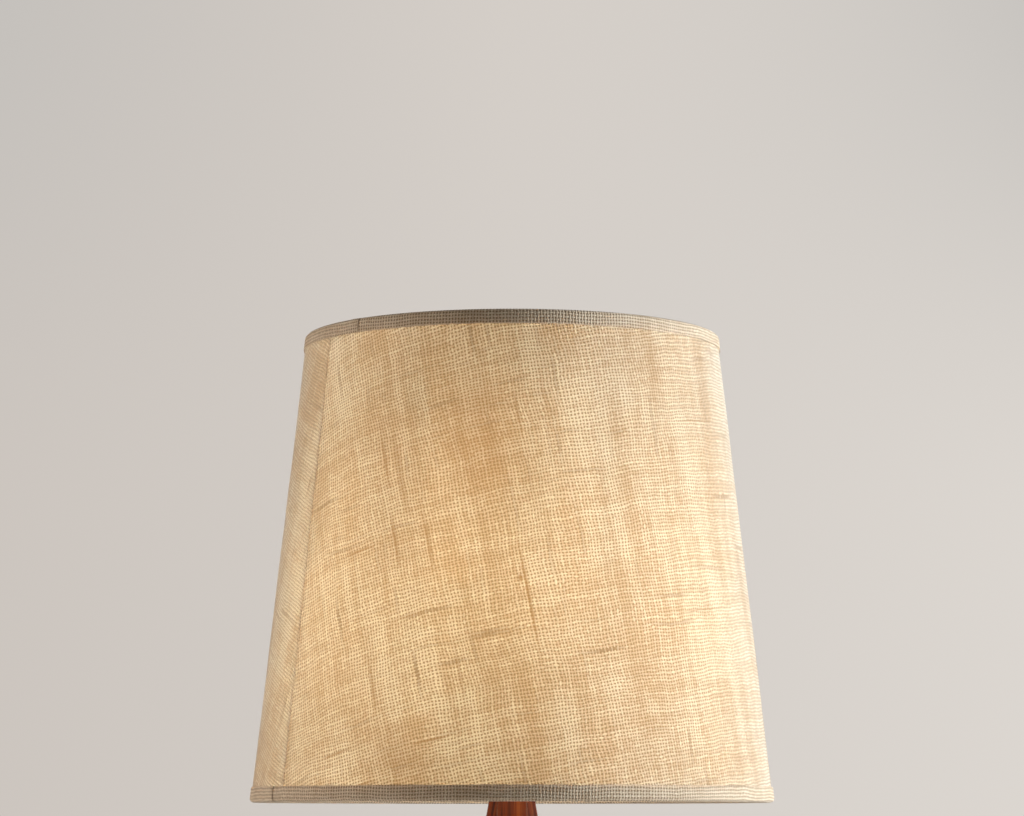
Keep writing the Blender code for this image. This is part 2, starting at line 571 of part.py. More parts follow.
def build_socket(brass, plastic, paper, copper):
    top = SOCKET_Z + SOCKET_CAP_HEIGHT
    floor = SOCKET_Z + SOCKET_CAP_FLOOR
    shoulder = SOCKET_Z + SOCKET_CAP_HEIGHT * 0.45
    wall = SOCKET_SHELL_RADIUS - SOCKET_WALL
    collar = PIPE_HOLE + 0.0030
    cap = turned_mesh("socket_cap", [
        (PIPE_HOLE, SOCKET_Z), (collar, SOCKET_Z), (collar + 0.003, floor),
        (SOCKET_SHELL_RADIUS, shoulder), (SOCKET_SHELL_RADIUS, top), (wall, top),
        (wall, shoulder + SOCKET_WALL), (collar + 0.002, floor + SOCKET_WALL * 2), (PIPE_HOLE, floor)])
    add_object("socket_cap", cap, brass)

    shell_top = SHELL_Z + SOCKET_SHELL_HEIGHT
    bead = SOCKET_WALL
    shell = add_object("socket_shell", turned_mesh("socket_shell", [
        (wall, SHELL_Z), (SOCKET_SHELL_RADIUS, SHELL_Z), (SOCKET_SHELL_RADIUS, SHELL_Z + 0.004),
        (SOCKET_SHELL_RADIUS + bead, SHELL_Z + 0.005), (SOCKET_SHELL_RADIUS, SHELL_Z + 0.006),
        (SOCKET_SHELL_RADIUS, shell_top), (wall, shell_top)]), brass)
    liner_top = shell_top - 0.001
    liner = add_object("socket_insulator", tube_mesh(
        "socket_insulator", INSULATOR_OUTER, INSULATOR_OUTER - SOCKET_WALL, SHELL_Z + GAP, liner_top), paper)
    body_top = BODY_Z + SOCKET_BODY_HEIGHT
    body = add_object("socket_body", rod_mesh("socket_body", SCREW_SHELL_OUTER, BODY_Z, body_top), plastic)
    screw_top = shell_top - 0.002
    screw_shell = tube_mesh("socket_screw_shell", SCREW_SHELL_OUTER, SCREW_SHELL_OUTER - SOCKET_WALL,
                            SCREW_SHELL_Z, screw_top)
    add_object("socket_screw_shell", screw_shell, copper)
    contact = rod_mesh("socket_contact", CONTACT_RADIUS, 0, CONTACT_HEIGHT, SMALL_SIDES)
    add_object("socket_contact", contact, copper).location.z = body_top + GAP
    terminal = rod_mesh("terminal_screw", TERMINAL_RADIUS, 0, TERMINAL_HEIGHT, SMALL_SIDES)
    for name, turn, metal in (("brass", -1, copper), ("silver", 1, brass)):
        screw = add_object("terminal_screw_" + name, terminal.copy(), metal)
        screw.location = (turn * SCREW_SHELL_OUTER * 0.55, 0, BODY_Z - GAP - TERMINAL_HEIGHT)

    into_front = Matrix.Translation((0, 0, STEM_Z)) @ Matrix.Rotation(pi / 2, 4, "X")
    stem_in = SCREW_SHELL_OUTER - STEM_DEPTH
    stem_out = SOCKET_SHELL_RADIUS + STEM_PROUD
    hole = STEM_RADIUS + STEM_CLEARANCE
    wide_hole = hole + 0.0008
    side_hole = rod_mesh("side_hole", wide_hole, SCREW_SHELL_OUTER - GAP, stem_out, SMALL_SIDES)
    cut(shell, "shell_stem_hole", side_hole, into_front)
    cut(liner, "liner_stem_hole", side_hole.copy(), into_front)
    well = rod_mesh("stem_well", hole, stem_in - GAP, stem_out, SMALL_SIDES)
    cut(body, "body_stem_hole", well, into_front)
    stem = rod_mesh("switch_stem", STEM_RADIUS, stem_in, stem_out, SMALL_SIDES)
    place = add_empty("switch_axis", (0, 0, STEM_Z))
    place.rotation_euler.x = pi / 2
    add_object("switch_stem", stem, brass, place)
    knob_in = SOCKET_SHELL_RADIUS + KNOB_STANDOFF
    add_object("switch_knob", knob_mesh(knob_in, stem_out), plastic, place)


def knob_mesh(low, stem_end):
    """A fluted knob with a blind hole that takes the stem. It lies along +Z of the switch's axis."""
    work = bmesh.new()
    flutes = 12
    sides = flutes * 3
    high = max(low + KNOB_LENGTH, stem_end + GAP + 0.002)
    hole = STEM_RADIUS + GAP
    hole_top = stem_end + GAP
    levels = [(low, 0.80), (low + 0.001, 1.0), (high - 0.0015, 0.96), (high, 0.82)]
    rings = []
    for level, share in levels:
        ring = []
        for step in range(sides):
            turn = 2 * pi * step / sides
            groove = KNOB_GRIP_DEPTH if step % 3 == 0 else 0.0
            radius = KNOB_RADIUS * share - groove
            ring.append(work.verts.new((radius * cos(turn), radius * sin(turn), level)))
        rings.append(ring)
    for lower, upper in zip(rings, rings[1:]):
        for step in range(sides):
            other = (step + 1) % sides
            work.faces.new((lower[step], lower[other], upper[other], upper[step]))
    work.faces.new(rings[-1])
    inner = []
    for level in (low, hole_top):
        turns = [2 * pi * step / sides for step in range(sides)]
        inner.append([work.verts.new((hole * cos(t), hole * sin(t), level)) for t in turns])
    for step in range(sides):
        other = (step + 1) % sides
        work.faces.new((rings[0][step], rings[0][other], inner[0][other], inner[0][step]))
        work.faces.new((inner[0][step], inner[0][other], inner[1][other], inner[1][step]))
    work.faces.new(inner[1])
    return mesh_from("switch_knob", work)


# ---------------------------------------------------------------- bulb

def build_bulb(brass, plastic, white, board_green, opal):
    contact_top = BODY_Z + SOCKET_BODY_HEIGHT + GAP + CONTACT_HEIGHT
    tip_low = contact_top + GAP
    insulator_low = tip_low + BULB_TIP_HEIGHT + GAP
    base_low = insulator_low + BULB_INSULATOR_HEIGHT + GAP
    base_top = base_low + BULB_BASE_HEIGHT
    housing_low = base_top + GAP
    housing_top = housing_low + BULB_HOUSING_HEIGHT
    axis = add_empty("bulb_axis", (0, 0, tip_low))

    def add(name, data, material):
        add_object(name, data, material, axis)

    def drop(outline):
        return [(radius, height - tip_low) for radius, height in outline]

    tip_top = tip_low + BULB_TIP_HEIGHT
    add("bulb_tip", turned_mesh("bulb_tip", drop([
        (0, tip_low), (BULB_TIP_RADIUS * 0.7, tip_low), (BULB_TIP_RADIUS, tip_top), (0, tip_top)]),
        SMALL_SIDES, closed=False), brass)
    insulator_top = base_low - GAP
    add("bulb_insulator", turned_mesh("bulb_insulator", drop([
        (0, insulator_low), (BULB_TIP_RADIUS, insulator_low), (BULB_BASE_RADIUS - 0.003, insulator_top),
        (0, insulator_top)]), PIECE_SIDES, closed=False), plastic)
    wall = BULB_BASE_RADIUS - SOCKET_WALL
    floor = base_low + SOCKET_WALL
    add("bulb_screw_base", turned_mesh("bulb_screw_base", drop([
        (0, base_low), (BULB_BASE_RADIUS - 0.003, base_low), (BULB_BASE_RADIUS, base_low + 0.003),
        (BULB_BASE_RADIUS, base_top), (wall, base_top), (wall, base_low + 0.003), (0, floor)]),
        PIECE_SIDES, closed=False), brass)
    shoulder = housing_top - 0.003
    spread = BULB_RADIUS - 0.0010
    flare = [(BULB_BASE_RADIUS + (spread - BULB_BASE_RADIUS) * (1 - cos(pi * t / 2)) ** 0.9,
              housing_low + 0.004 + (shoulder - housing_low - 0.004) * t) for t in (0, 0.25, 0.5, 0.75, 1.0)]
    recess = LED_BOARD_RADIUS + GAP
    recess_floor = housing_top - LED_BOARD_THICKNESS - GAP
    add("bulb_housing", turned_mesh("bulb_housing", drop(
        [(0, housing_low), (BULB_BASE_RADIUS, housing_low)] + flare
        + [(spread, housing_top), (recess, housing_top), (recess, recess_floor), (0, recess_floor)]),
        PIECE_SIDES, closed=False), white)
    board_low = recess_floor + GAP
    add("led_board", rod_mesh("led_board", LED_BOARD_RADIUS, board_low - tip_low,
                              board_low + LED_BOARD_THICKNESS - tip_low), board_green)
    globe_low = housing_top + GAP
    equator = globe_low + BULB_GLOBE_HEIGHT - BULB_RADIUS
    inside_radius = BULB_RADIUS - BULB_WALL
    angles = [pi / 2 * step / GLOBE_STEPS for step in range(GLOBE_STEPS + 1)]
    outside = [(BULB_RADIUS * cos(a), equator + BULB_RADIUS * sin(a)) for a in angles]
    inside = [(inside_radius * cos(a), equator + inside_radius * sin(a)) for a in reversed(angles)]
    outside[-1] = (0, equator + BULB_RADIUS)
    inside[0] = (0, equator + inside_radius)
    lip = spread - BULB_WALL
    add("bulb_globe", turned_mesh("bulb_globe", drop(
        outside[::-1] + [(spread, globe_low), (lip, globe_low)] + inside[::-1]),
        PIECE_SIDES, closed=False), opal)


# ---------------------------------------------------------------- shade and finial

def shade_point(along, outward, at_top):
    """(radius, height) of a point by the shade's skin: along from its edge, and outward from its face."""
    slope = Vector((SHADE_BOTTOM_RADIUS - SHADE_TOP_RADIUS, SHADE_HEIGHT)).normalized()
    if at_top:
        radius = SHADE_TOP_RADIUS + along * slope.x
        height = SHADE_TOP_Z - along * slope.y
    else:
        radius = SHADE_BOTTOM_RADIUS - along * slope.x
        height = RIM_HEIGHT + along * slope.y
    return radius + outward * slope.y, height + outward * slope.x


def skin_mesh(name, outer, inner, edge):
    """A tapered wall between two offsets from the fabric's face, kept back from both edges."""
    return turned_mesh(name, [shade_point(edge, outer, False), shade_point(edge, outer, True),
                              shade_point(edge, inner, True), shade_point(edge, inner, False)], SHADE_SIDES)


def ring_depth():
    """How far a ring's middle lies inside the fabric's face."""
    return FABRIC_THICKNESS + GAP + LINER_THICKNESS + GAP + RING_WIRE_RADIUS


def trim_mesh(name, at_top):
    """A band that covers the fabric's edge, folds over the ring and ends inside."""
    face = GAP
    back = -(ring_depth() + RING_WIRE_RADIUS + GAP)
    out_face, out_back = face + TRIM_THICKNESS, back - TRIM_THICKNESS
    outline = [(TRIM_WIDTH, face), (TRIM_WIDTH, out_face), (0, out_face), (0, out_back),
               (TRIM_RETURN, out_back), (TRIM_RETURN, back), (TRIM_THICKNESS, back), (TRIM_THICKNESS, face)]
    return turned_mesh(name, [shade_point(s, n, at_top) for s, n in outline], SHADE_SIDES)


def ring_middle(at_top):
    return shade_point(TRIM_THICKNESS + GAP + RING_WIRE_RADIUS, -ring_depth(), at_top)


def ring_mesh(name, at_top):
    radius, height = ring_middle(at_top)
    turns = [2 * pi * step / RING_WIRE_SIDES for step in range(RING_WIRE_SIDES)]
    outline = [(radius + RING_WIRE_RADIUS * cos(t), height + RING_WIRE_RADIUS * sin(t)) for t in turns]
    return turned_mesh(name, outline, SHADE_SIDES)


def spider_points():
    """An arm's path, out from the hub ring and up to the shade's top ring."""
    low = SPIDER_HUB_Z + HUB_RING_THICKNESS / 2
    ring_radius, ring_height = ring_middle(True)
    reach = ring_radius - RING_WIRE_RADIUS - GAP - TRIM_THICKNESS - 2 * GAP
    start = in_xz(HUB_RING_RADIUS + 2 * GAP, low)
    bend = in_xz(HUB_RING_RADIUS + 0.012, low)
    end = in_xz(reach, ring_height - RING_WIRE_RADIUS * 2 - TRIM_RETURN)
    rise = (end - bend) * 0.3
    points = bezier(start, bend, bend + rise, end - rise, 10)
    return points + [end]


def build_shade(fabric, liner, trim, steel):
    edge = TRIM_THICKNESS + GAP
    axis = add_empty("shade_axis")
    fabric_data = skin_mesh("shade_fabric", 0.0, -FABRIC_THICKNESS, edge)
    add_object("shade_fabric", fabric_data, fabric, axis)
    liner_face = -FABRIC_THICKNESS - GAP
    liner_data = skin_mesh("shade_liner", liner_face, liner_face - LINER_THICKNESS, edge)
    add_object("shade_liner", liner_data, liner, axis)
    for place, at_top in (("top", True), ("bottom", False)):
        add_object("trim_" + place, trim_mesh("trim_" + place, at_top), trim, axis)
        add_object("ring_" + place, ring_mesh("ring_" + place, at_top), steel, axis)
    hub_hole = STUD_RADIUS + BOLT_CLEARANCE
    hub = tube_mesh("spider_hub", HUB_RING_RADIUS, hub_hole, SPIDER_HUB_Z, SPIDER_HUB_Z + HUB_RING_THICKNESS)
    add_object("spider_hub", hub, steel, axis)
    arm_data = swept_rod_mesh("spider_arm", spider_points(), SPIDER_WIRE_RADIUS)
    for name, degrees in SPIDER_AZIMUTHS.items():
        arm = add_object("spider_arm_" + name, arm_data, steel, axis)
        arm.rotation_euler.z = radians(degrees)


def build_finial(brass):
    """A turned knob whose blind hole takes the harp's stud."""
    hole = STUD_RADIUS + BOLT_CLEARANCE
    hole_top = STUD_LENGTH - HUB_RING_THICKNESS - GAP
    height = max(FINIAL_HEIGHT, hole_top + FINIAL_WALL_TOP)
    ball = FINIAL_RADIUS
    ball_middle = height - ball
    arc = [radians(degrees) for degrees in (-35, -10, 15, 40, 65)]
    knob = [(ball * cos(a), ball_middle + ball * sin(a)) for a in arc]
    outline = [(hole, 0), (ball * 1.15, 0), (ball * 1.15, 0.002), (ball * 0.72, 0.004),
               (ball * 0.68, ball_middle - ball * 0.9)] + knob
    outline += [(0, height), (0, hole_top), (hole, hole_top)]
    add_object("finial", turned_mesh("finial", outline), brass).location.z = FINIAL_Z


def build():
    clear_scene()
    wood = make_material("stained_wood", (0.13, 0.03, 0.006), 0.42)
    steel = make_material("plated_steel", (0.62, 0.60, 0.56), 0.30, 1.0)
    brass = make_material("brass", (0.66, 0.46, 0.20), 0.32, 1.0)
    dark_metal = make_material("dark_metal", (0.06, 0.05, 0.045), 0.45, 1.0)
    copper = make_material("contact_brass", (0.72, 0.50, 0.25), 0.35, 1.0)
    rubber = make_material("rubber", (0.03, 0.03, 0.03), 0.85)
    plastic = make_material("black_plastic", (0.02, 0.02, 0.02), 0.40)
    paper = make_material("insulating_paper", (0.42, 0.30, 0.18), 0.80)
    white = make_material("white_plastic", (0.82, 0.82, 0.80), 0.40)
    board = make_material("led_board", (0.75, 0.76, 0.74), 0.50)
    opal = make_material("opal_globe", (0.90, 0.88, 0.84), 0.35)
    linen = make_material("linen", (0.68, 0.50, 0.32), 0.90)
    styrene = make_material("shade_liner", (0.86, 0.82, 0.72), 0.55)
    trim = make_material("linen_trim", (0.42, 0.30, 0.20), 0.90)
    build_legs(wood, dark_metal, brass, rubber)
    build_hub(wood)
    build_pipe(steel, brass, plastic)
    build_harp(steel, brass)
    build_socket(brass, plastic, paper, copper)
    build_bulb(brass, plastic, white, board, opal)
    build_shade(linen, styrene, trim, steel)
    build_finial(brass)


build()
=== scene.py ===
from math import atan, cos, hypot, pi, radians, sin

import bmesh
import bpy
from mathutils import Matrix, Vector, noise


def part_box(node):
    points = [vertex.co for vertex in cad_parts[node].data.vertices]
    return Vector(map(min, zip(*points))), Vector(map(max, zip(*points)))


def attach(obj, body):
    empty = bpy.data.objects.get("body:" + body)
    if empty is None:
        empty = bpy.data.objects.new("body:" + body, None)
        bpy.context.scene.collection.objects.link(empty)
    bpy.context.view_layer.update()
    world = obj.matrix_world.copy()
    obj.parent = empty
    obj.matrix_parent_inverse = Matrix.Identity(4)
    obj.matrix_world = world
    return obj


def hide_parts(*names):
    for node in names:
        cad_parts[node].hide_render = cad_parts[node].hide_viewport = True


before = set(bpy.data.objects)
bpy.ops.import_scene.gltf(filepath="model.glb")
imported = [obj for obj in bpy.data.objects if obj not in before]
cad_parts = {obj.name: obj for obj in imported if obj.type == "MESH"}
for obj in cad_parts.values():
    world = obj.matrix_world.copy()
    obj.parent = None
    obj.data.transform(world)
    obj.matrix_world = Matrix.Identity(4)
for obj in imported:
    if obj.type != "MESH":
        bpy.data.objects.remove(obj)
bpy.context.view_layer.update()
print("frame loaded:", len(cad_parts), "nodes")


# small helpers for shader trees

def fillSockets(tree, node, inputs):
    # a socket is linked, and a plain value is set
    for key, value in inputs.items():
        if isinstance(value, bpy.types.NodeSocket):
            tree.links.new(value, node.inputs[key])
        else:
            node.inputs[key].default_value = value


def addNode(tree, kind, inputs=None, **settings):
    node = tree.nodes.new(kind)
    for key, value in settings.items():
        setattr(node, key, value)
    fillSockets(tree, node, inputs or {})
    return node


def calc(tree, operation, a, b=0.0, clamp=False):
    node = addNode(tree, "ShaderNodeMath", {0: a, 1: b}, operation=operation, use_clamp=clamp)
    return node.outputs[0]


def addShare(tree, total, value, share):
    return calc(tree, "ADD", total, calc(tree, "MULTIPLY", value, share))


def vectorCalc(tree, operation, a, b=(0.0, 0.0, 0.0)):
    return addNode(tree, "ShaderNodeVectorMath", {0: a, 1: b}, operation=operation).outputs[0]


def scaleVector(tree, vector, scale):
    node = addNode(tree, "ShaderNodeVectorMath", {0: vector, "Scale": scale}, operation="SCALE")
    return node.outputs[0]


def lengthOf(tree, vector):
    return addNode(tree, "ShaderNodeVectorMath", {0: vector}, operation="LENGTH").outputs["Value"]


def remap(tree, value, low, high, newLow=0.0, newHigh=1.0, kind="SMOOTHSTEP"):
    node = addNode(tree, "ShaderNodeMapRange", {"Value": value, "From Min": low, "From Max": high,
                                                "To Min": newLow, "To Max": newHigh})
    node.interpolation_type = kind
    return node.outputs["Result"]


def blend(tree, factor, a, b, mode="MIX"):
    a, b = [value if isinstance(value, bpy.types.NodeSocket) else (*value, 1.0) for value in (a, b)]
    node = addNode(tree, "ShaderNodeMix", data_type="RGBA", blend_type=mode)
    fillSockets(tree, node, {0: factor, 6: a, 7: b})
    return node.outputs[2]


def noiseNode(tree, vector, scale, detail=3.0, roughness=0.5):
    return addNode(tree, "ShaderNodeTexNoise", {"Vector": vector, "Scale": scale, "Detail": detail,
                                                "Roughness": roughness})


def noiseValue(tree, vector, scale, detail=3.0, roughness=0.5):
    return noiseNode(tree, vector, scale, detail, roughness).outputs["Fac"]


def noiseOffset(tree, vector, scale, detail):
    # a random vector, even about zero
    loose = noiseNode(tree, vector, scale, detail).outputs["Color"]
    return vectorCalc(tree, "SUBTRACT", loose, (0.5, 0.5, 0.5))


def startGroup(name, inputs, outputs):
    # an input is a value or, with None or three numbers, a vector; every output is a value
    group = bpy.data.node_groups.new(name, "ShaderNodeTree")
    for label, value in inputs.items():
        kind = "NodeSocketVector" if value is None or isinstance(value, tuple) else "NodeSocketFloat"
        socket = group.interface.new_socket(label, in_out="INPUT", socket_type=kind)
        if value is not None:
            socket.default_value = value
    for label in outputs:
        group.interface.new_socket(label, in_out="OUTPUT", socket_type="NodeSocketFloat")
    return group, group.nodes.new("NodeGroupInput").outputs, group.nodes.new("NodeGroupOutput")


def placeGroup(tree, group, inputs):
    node = tree.nodes.new("ShaderNodeGroup")
    node.node_tree = group
    fillSockets(tree, node, inputs)
    return node.outputs


def startMaterial(name, roughness):
    material = bpy.data.materials.new(name)
    material.use_nodes = True
    shader = material.node_tree.nodes["Principled BSDF"]
    shader.inputs["Roughness"].default_value = roughness
    return material, material.node_tree, shader


def bump(tree, height, distance, strength):
    inputs = {"Height": height, "Distance": distance, "Strength": strength}
    return addNode(tree, "ShaderNodeBump", inputs).outputs["Normal"]


def objectPoint(tree):
    return addNode(tree, "ShaderNodeTexCoord").outputs["Object"]


def letLightThrough(tree, shader, colour, share, normal=None):
    # part of the light passes through the sheet and spreads
    through = addNode(tree, "ShaderNodeBsdfTranslucent", {"Color": colour})
    if normal is not None:
        tree.links.new(normal, through.inputs["Normal"])
    mixed = addNode(tree, "ShaderNodeMixShader", {0: share, 1: shader.outputs[0], 2: through.outputs[0]})
    tree.links.new(mixed.outputs[0], tree.nodes["Material Output"].inputs["Surface"])


# shared effects

def makeWeaveGroup():
    # plain weave in flat cloth coordinates, metres: x along the weft, y along the warp
    group, given, result = startGroup("coarseWeave", {
        "Cloth": None, "Pitch": 0.0028, "Waver": 0.8, "Slubs": 0.5}, [
        "Height", "Gap Shade", "Streak", "Slub", "Fleck", "Crossing"])
    cloth = given["Cloth"]
    moved = scaleVector(group, cloth, calc(group, "DIVIDE", 1.0, given["Pitch"]))
    for scale, detail, share in ((16.0, 2.0, 6.0), (170.0, 1.0, 1.1)):
        strayed = noiseOffset(group, cloth, scale, detail)
        strayed = scaleVector(group, strayed, calc(group, "MULTIPLY", given["Waver"], share))
        moved = vectorCalc(group, "ADD", moved, strayed)
    parts = addNode(group, "ShaderNodeSeparateXYZ", {0: moved})
    waves, roundness = [], []
    for axis in (0, 1):
        wave = calc(group, "SINE", calc(group, "MULTIPLY", parts.outputs[axis], pi))
        waves.append(wave)
        roundness.append(calc(group, "POWER", calc(group, "ABSOLUTE", wave), 0.75))
    over = calc(group, "MULTIPLY", calc(group, "MULTIPLY", waves[0], waves[1]), 0.22)
    warp = calc(group, "ADD", roundness[0], over)
    weft = calc(group, "SUBTRACT", roundness[1], over)
    height = calc(group, "MAXIMUM", warp, weft)
    isWarp = calc(group, "GREATER_THAN", warp, weft)
    group.links.new(height, result.inputs["Height"])
    # painted shade: the low gaps between the threads, to be painted darker
    group.links.new(remap(group, height, 1.00, 0.55), result.inputs["Gap Shade"])
    # every crossing has its own tone
    corner = {axis: calc(group, "FLOOR", parts.outputs[axis]) for axis in (0, 1)}
    cell = addNode(group, "ShaderNodeCombineXYZ", corner)
    loose = addNode(group, "ShaderNodeTexWhiteNoise", {"Vector": cell.outputs[0]}).outputs["Value"]
    group.links.new(remap(group, loose, 0.0, 1.0, -1.0, 1.0, "LINEAR"), result.inputs["Crossing"])
    # every thread has its own tone, which drifts along its length
    threadTones = []
    for axis in (0, 1):
        cell = calc(group, "MULTIPLY", calc(group, "FLOOR", parts.outputs[axis]), 3.71)
        along = calc(group, "MULTIPLY", parts.outputs[1 - axis], 0.032)
        spot = addNode(group, "ShaderNodeCombineXYZ", {0: cell, 1: along, 2: 7.3 * (axis + 1)})
        threadTones.append(noiseValue(group, spot.outputs[0], 1.0, 2.0))
    tone = addNode(group, "ShaderNodeMix", {0: isWarp, 2: threadTones[1], 3: threadTones[0]},
                   data_type="FLOAT")
    group.links.new(remap(group, tone.outputs[0], 0.30, 0.70, -1.0, 1.0), result.inputs["Streak"])
    slubStart = calc(group, "SUBTRACT", 0.70, calc(group, "MULTIPLY", given["Slubs"], 0.10))
    slubs = []
    for axis, onTop in ((0, isWarp), (1, calc(group, "SUBTRACT", 1.0, isWarp))):
        slub = addNode(group, "ShaderNodeMapRange", {"Value": threadTones[axis], "From Min": slubStart,
                                                     "From Max": 0.78})
        shown = remap(group, onTop, 0.0, 1.0, 0.55, 1.0, "LINEAR")
        slubs.append(calc(group, "MULTIPLY", slub.outputs["Result"], shown))
    group.links.new(calc(group, "MAXIMUM", slubs[0], slubs[1]), result.inputs["Slub"])
    fleck = noiseValue(group, cloth, 95.0, 2.0, 0.6)
    group.links.new(remap(group, fleck, 0.66, 0.78), result.inputs["Fleck"])
    return group


def makeBlotchGroup():
    # slow changes of tone over the cloth, drawn out along one direction
    group, given, result = startGroup("toneDrift", {
        "Point": None, "Scale": 6.0, "Stretch": (1.0, 1.0, 1.0)}, ["Tone"])
    drawn = vectorCalc(group, "MULTIPLY", given["Point"], given["Stretch"])
    cloud = noiseValue(group, drawn, given["Scale"], 4.0, 0.55)
    group.links.new(remap(group, cloud, 0.28, 0.72, -1.0, 1.0), result.inputs["Tone"])
    return group


def makeGrainGroup():
    # long grain along Z of the given point, in metres, with growth rings and open pores
    group, given, result = startGroup("stainedGrain", {
        "Point": None, "Rings": 210.0, "Pores": 1.0}, ["Grain", "Streak", "Pore", "Height"])
    point = given["Point"]
    drawn = vectorCalc(group, "MULTIPLY", point, (1.0, 1.0, 0.055))
    bend = vectorCalc(group, "MULTIPLY", noiseOffset(group, drawn, 26.0, 3.0), (0.020, 0.020, 0.0))
    bent = vectorCalc(group, "ADD", drawn, bend)
    centre = vectorCalc(group, "SUBTRACT", bent, (0.031, 0.047, 0.0))
    flat = vectorCalc(group, "MULTIPLY", centre, (1.0, 1.0, 0.25))
    phase = calc(group, "FRACT", calc(group, "MULTIPLY", lengthOf(group, flat), given["Rings"]))
    rise = remap(group, phase, 0.0, 0.72)
    fall = remap(group, phase, 0.84, 1.0, 1.0, 0.0)
    ring = calc(group, "MULTIPLY", rise, fall)
    group.links.new(ring, result.inputs["Grain"])
    fibre = vectorCalc(group, "MULTIPLY", point, (1.0, 1.0, 0.018))
    streak = noiseValue(group, fibre, 260.0, 4.0, 0.65)
    group.links.new(remap(group, streak, 0.30, 0.70), result.inputs["Streak"])
    poreSpot = vectorCalc(group, "MULTIPLY", point, (1.0, 1.0, 0.035))
    pore = remap(group, noiseValue(group, poreSpot, 900.0, 1.0), 0.60, 0.70)
    pore = calc(group, "MULTIPLY", pore, remap(group, ring, 0.75, 0.15, 0.35, 1.0))
    pore = calc(group, "MULTIPLY", pore, given["Pores"], clamp=True)
    group.links.new(pore, result.inputs["Pore"])
    height = calc(group, "SUBTRACT", calc(group, "MULTIPLY", ring, 0.35), pore)
    group.links.new(height, result.inputs["Height"])
    return group


def makeWearGroup():
    # rubbed edges: where the rounded normal leaves the true one, broken up by noise
    group, given, result = startGroup("edgeWear", {
        "Point": None, "Width": 0.0008, "Amount": 0.5}, ["Mask"])
    soft = addNode(group, "ShaderNodeBevel", {"Radius": given["Width"]}, samples=4)
    true = addNode(group, "ShaderNodeNewGeometry").outputs["Normal"]
    dot = addNode(group, "ShaderNodeVectorMath", {0: soft.outputs[0], 1: true}, operation="DOT_PRODUCT")
    edge = remap(group, dot.outputs["Value"], 0.995, 0.86)
    patch = noiseValue(group, given["Point"], 320.0, 4.0, 0.6)
    mask = calc(group, "MULTIPLY", edge, remap(group, patch, 0.38, 0.62))
    mask = calc(group, "MULTIPLY", mask, given["Amount"], clamp=True)
    group.links.new(mask, result.inputs["Mask"])
    return group


def makeDustGroup():
    # a thin fall of dust on faces that look up
    group, given, result = startGroup("settledDust", {"Point": None, "Amount": 0.3}, ["Mask"])
    normal = addNode(group, "ShaderNodeNewGeometry").outputs["Normal"]
    up = addNode(group, "ShaderNodeSeparateXYZ", {0: normal})
    facing = remap(group, up.outputs[2], 0.35, 0.95)
    patch = noiseValue(group, given["Point"], 60.0, 5.0, 0.65)
    mask = calc(group, "MULTIPLY", facing, remap(group, patch, 0.30, 0.75))
    mask = calc(group, "MULTIPLY", mask, given["Amount"], clamp=True)
    group.links.new(mask, result.inputs["Mask"])
    return group


def makeFinishGroup():
    # fine tooling lines round Z, with a cloudy change of polish
    group, given, result = startGroup("turnedFinish", {
        "Point": None, "Lines": 2600.0}, ["Polish", "Height"])
    stretched = vectorCalc(group, "MULTIPLY", given["Point"], (0.02, 0.02, 1.0))
    lines = noiseValue(group, stretched, given["Lines"], 2.0)
    group.links.new(lines, result.inputs["Height"])
    cloud = noiseValue(group, given["Point"], 85.0, 4.0, 0.6)
    group.links.new(remap(group, cloud, 0.28, 0.72), result.inputs["Polish"])
    return group


def makeMarkGroup():
    # one long soft mark in the cloth, such as a thick dark thread
    group, given, result = startGroup("clothMark", {
        "Cloth": None, "Place": (0.0, 0.0, 0.0), "Half Size": (0.002, 0.02, 1.0), "Depth": 0.5}, ["Mask"])
    away = vectorCalc(group, "SUBTRACT", given["Cloth"], given["Place"])
    away = vectorCalc(group, "DIVIDE", away, given["Half Size"])
    mask = calc(group, "MULTIPLY", remap(group, lengthOf(group, away), 1.0, 0.2), given["Depth"])
    group.links.new(mask, result.inputs["Mask"])
    return group


weaveGroup = makeWeaveGroup()
markGroup = makeMarkGroup()
blotchGroup = makeBlotchGroup()
grainGroup = makeGrainGroup()
wearGroup = makeWearGroup()
dustGroup = makeDustGroup()
finishGroup = makeFinishGroup()
print("shared effects ready")


# cloths

linenLook = {
    "pitch": 0.0028,
    "waver": 0.6,
    "slubs": 0.55,
    "threadLight": (0.95, 0.87, 0.74),
    "threadDark": (0.69, 0.52, 0.345),
    # painted shade colour of the gaps between threads
    "gap": (0.42, 0.29, 0.16),
    "slub": (0.40, 0.25, 0.12),
    "mark": (0.46, 0.27, 0.115),
    "sheen": 0.60,
    "passing": 0.55,        # share of the light that goes through the threads
    "passingTint": (1.0, 0.97, 0.88),
    "streaks": 0.55,
    # scale, stretch across and along the warp, share: painted light and shade of soft folds, warp
    # streaks, weft streaks
    "drifts": ((7.0, (1.0, 0.7, 1.0), 0.42), (60.0, (1.0, 0.10, 1.0), 0.62),
               (20.0, (1.0, 0.25, 1.0), 0.50), (85.0, (0.12, 1.0, 1.0), 0.38)),
}

trimLook = {
    "pitch": 0.0027,
    "waver": 0.35,
    "slubs": 0.3,
    "threadLight": (0.90, 0.76, 0.58),
    "threadDark": (0.66, 0.49, 0.32),
    # painted shade colour of the gaps between threads
    "gap": (0.33, 0.215, 0.120),
    "slub": (0.42, 0.27, 0.15),
    "sheen": 0.25,
    "passing": 0.08,
    "passingTint": (1.0, 0.80, 0.55),
    "streaks": 0.50,
    "drifts": ((30.0, (1.0, 0.3, 1.0), 0.30),),
}


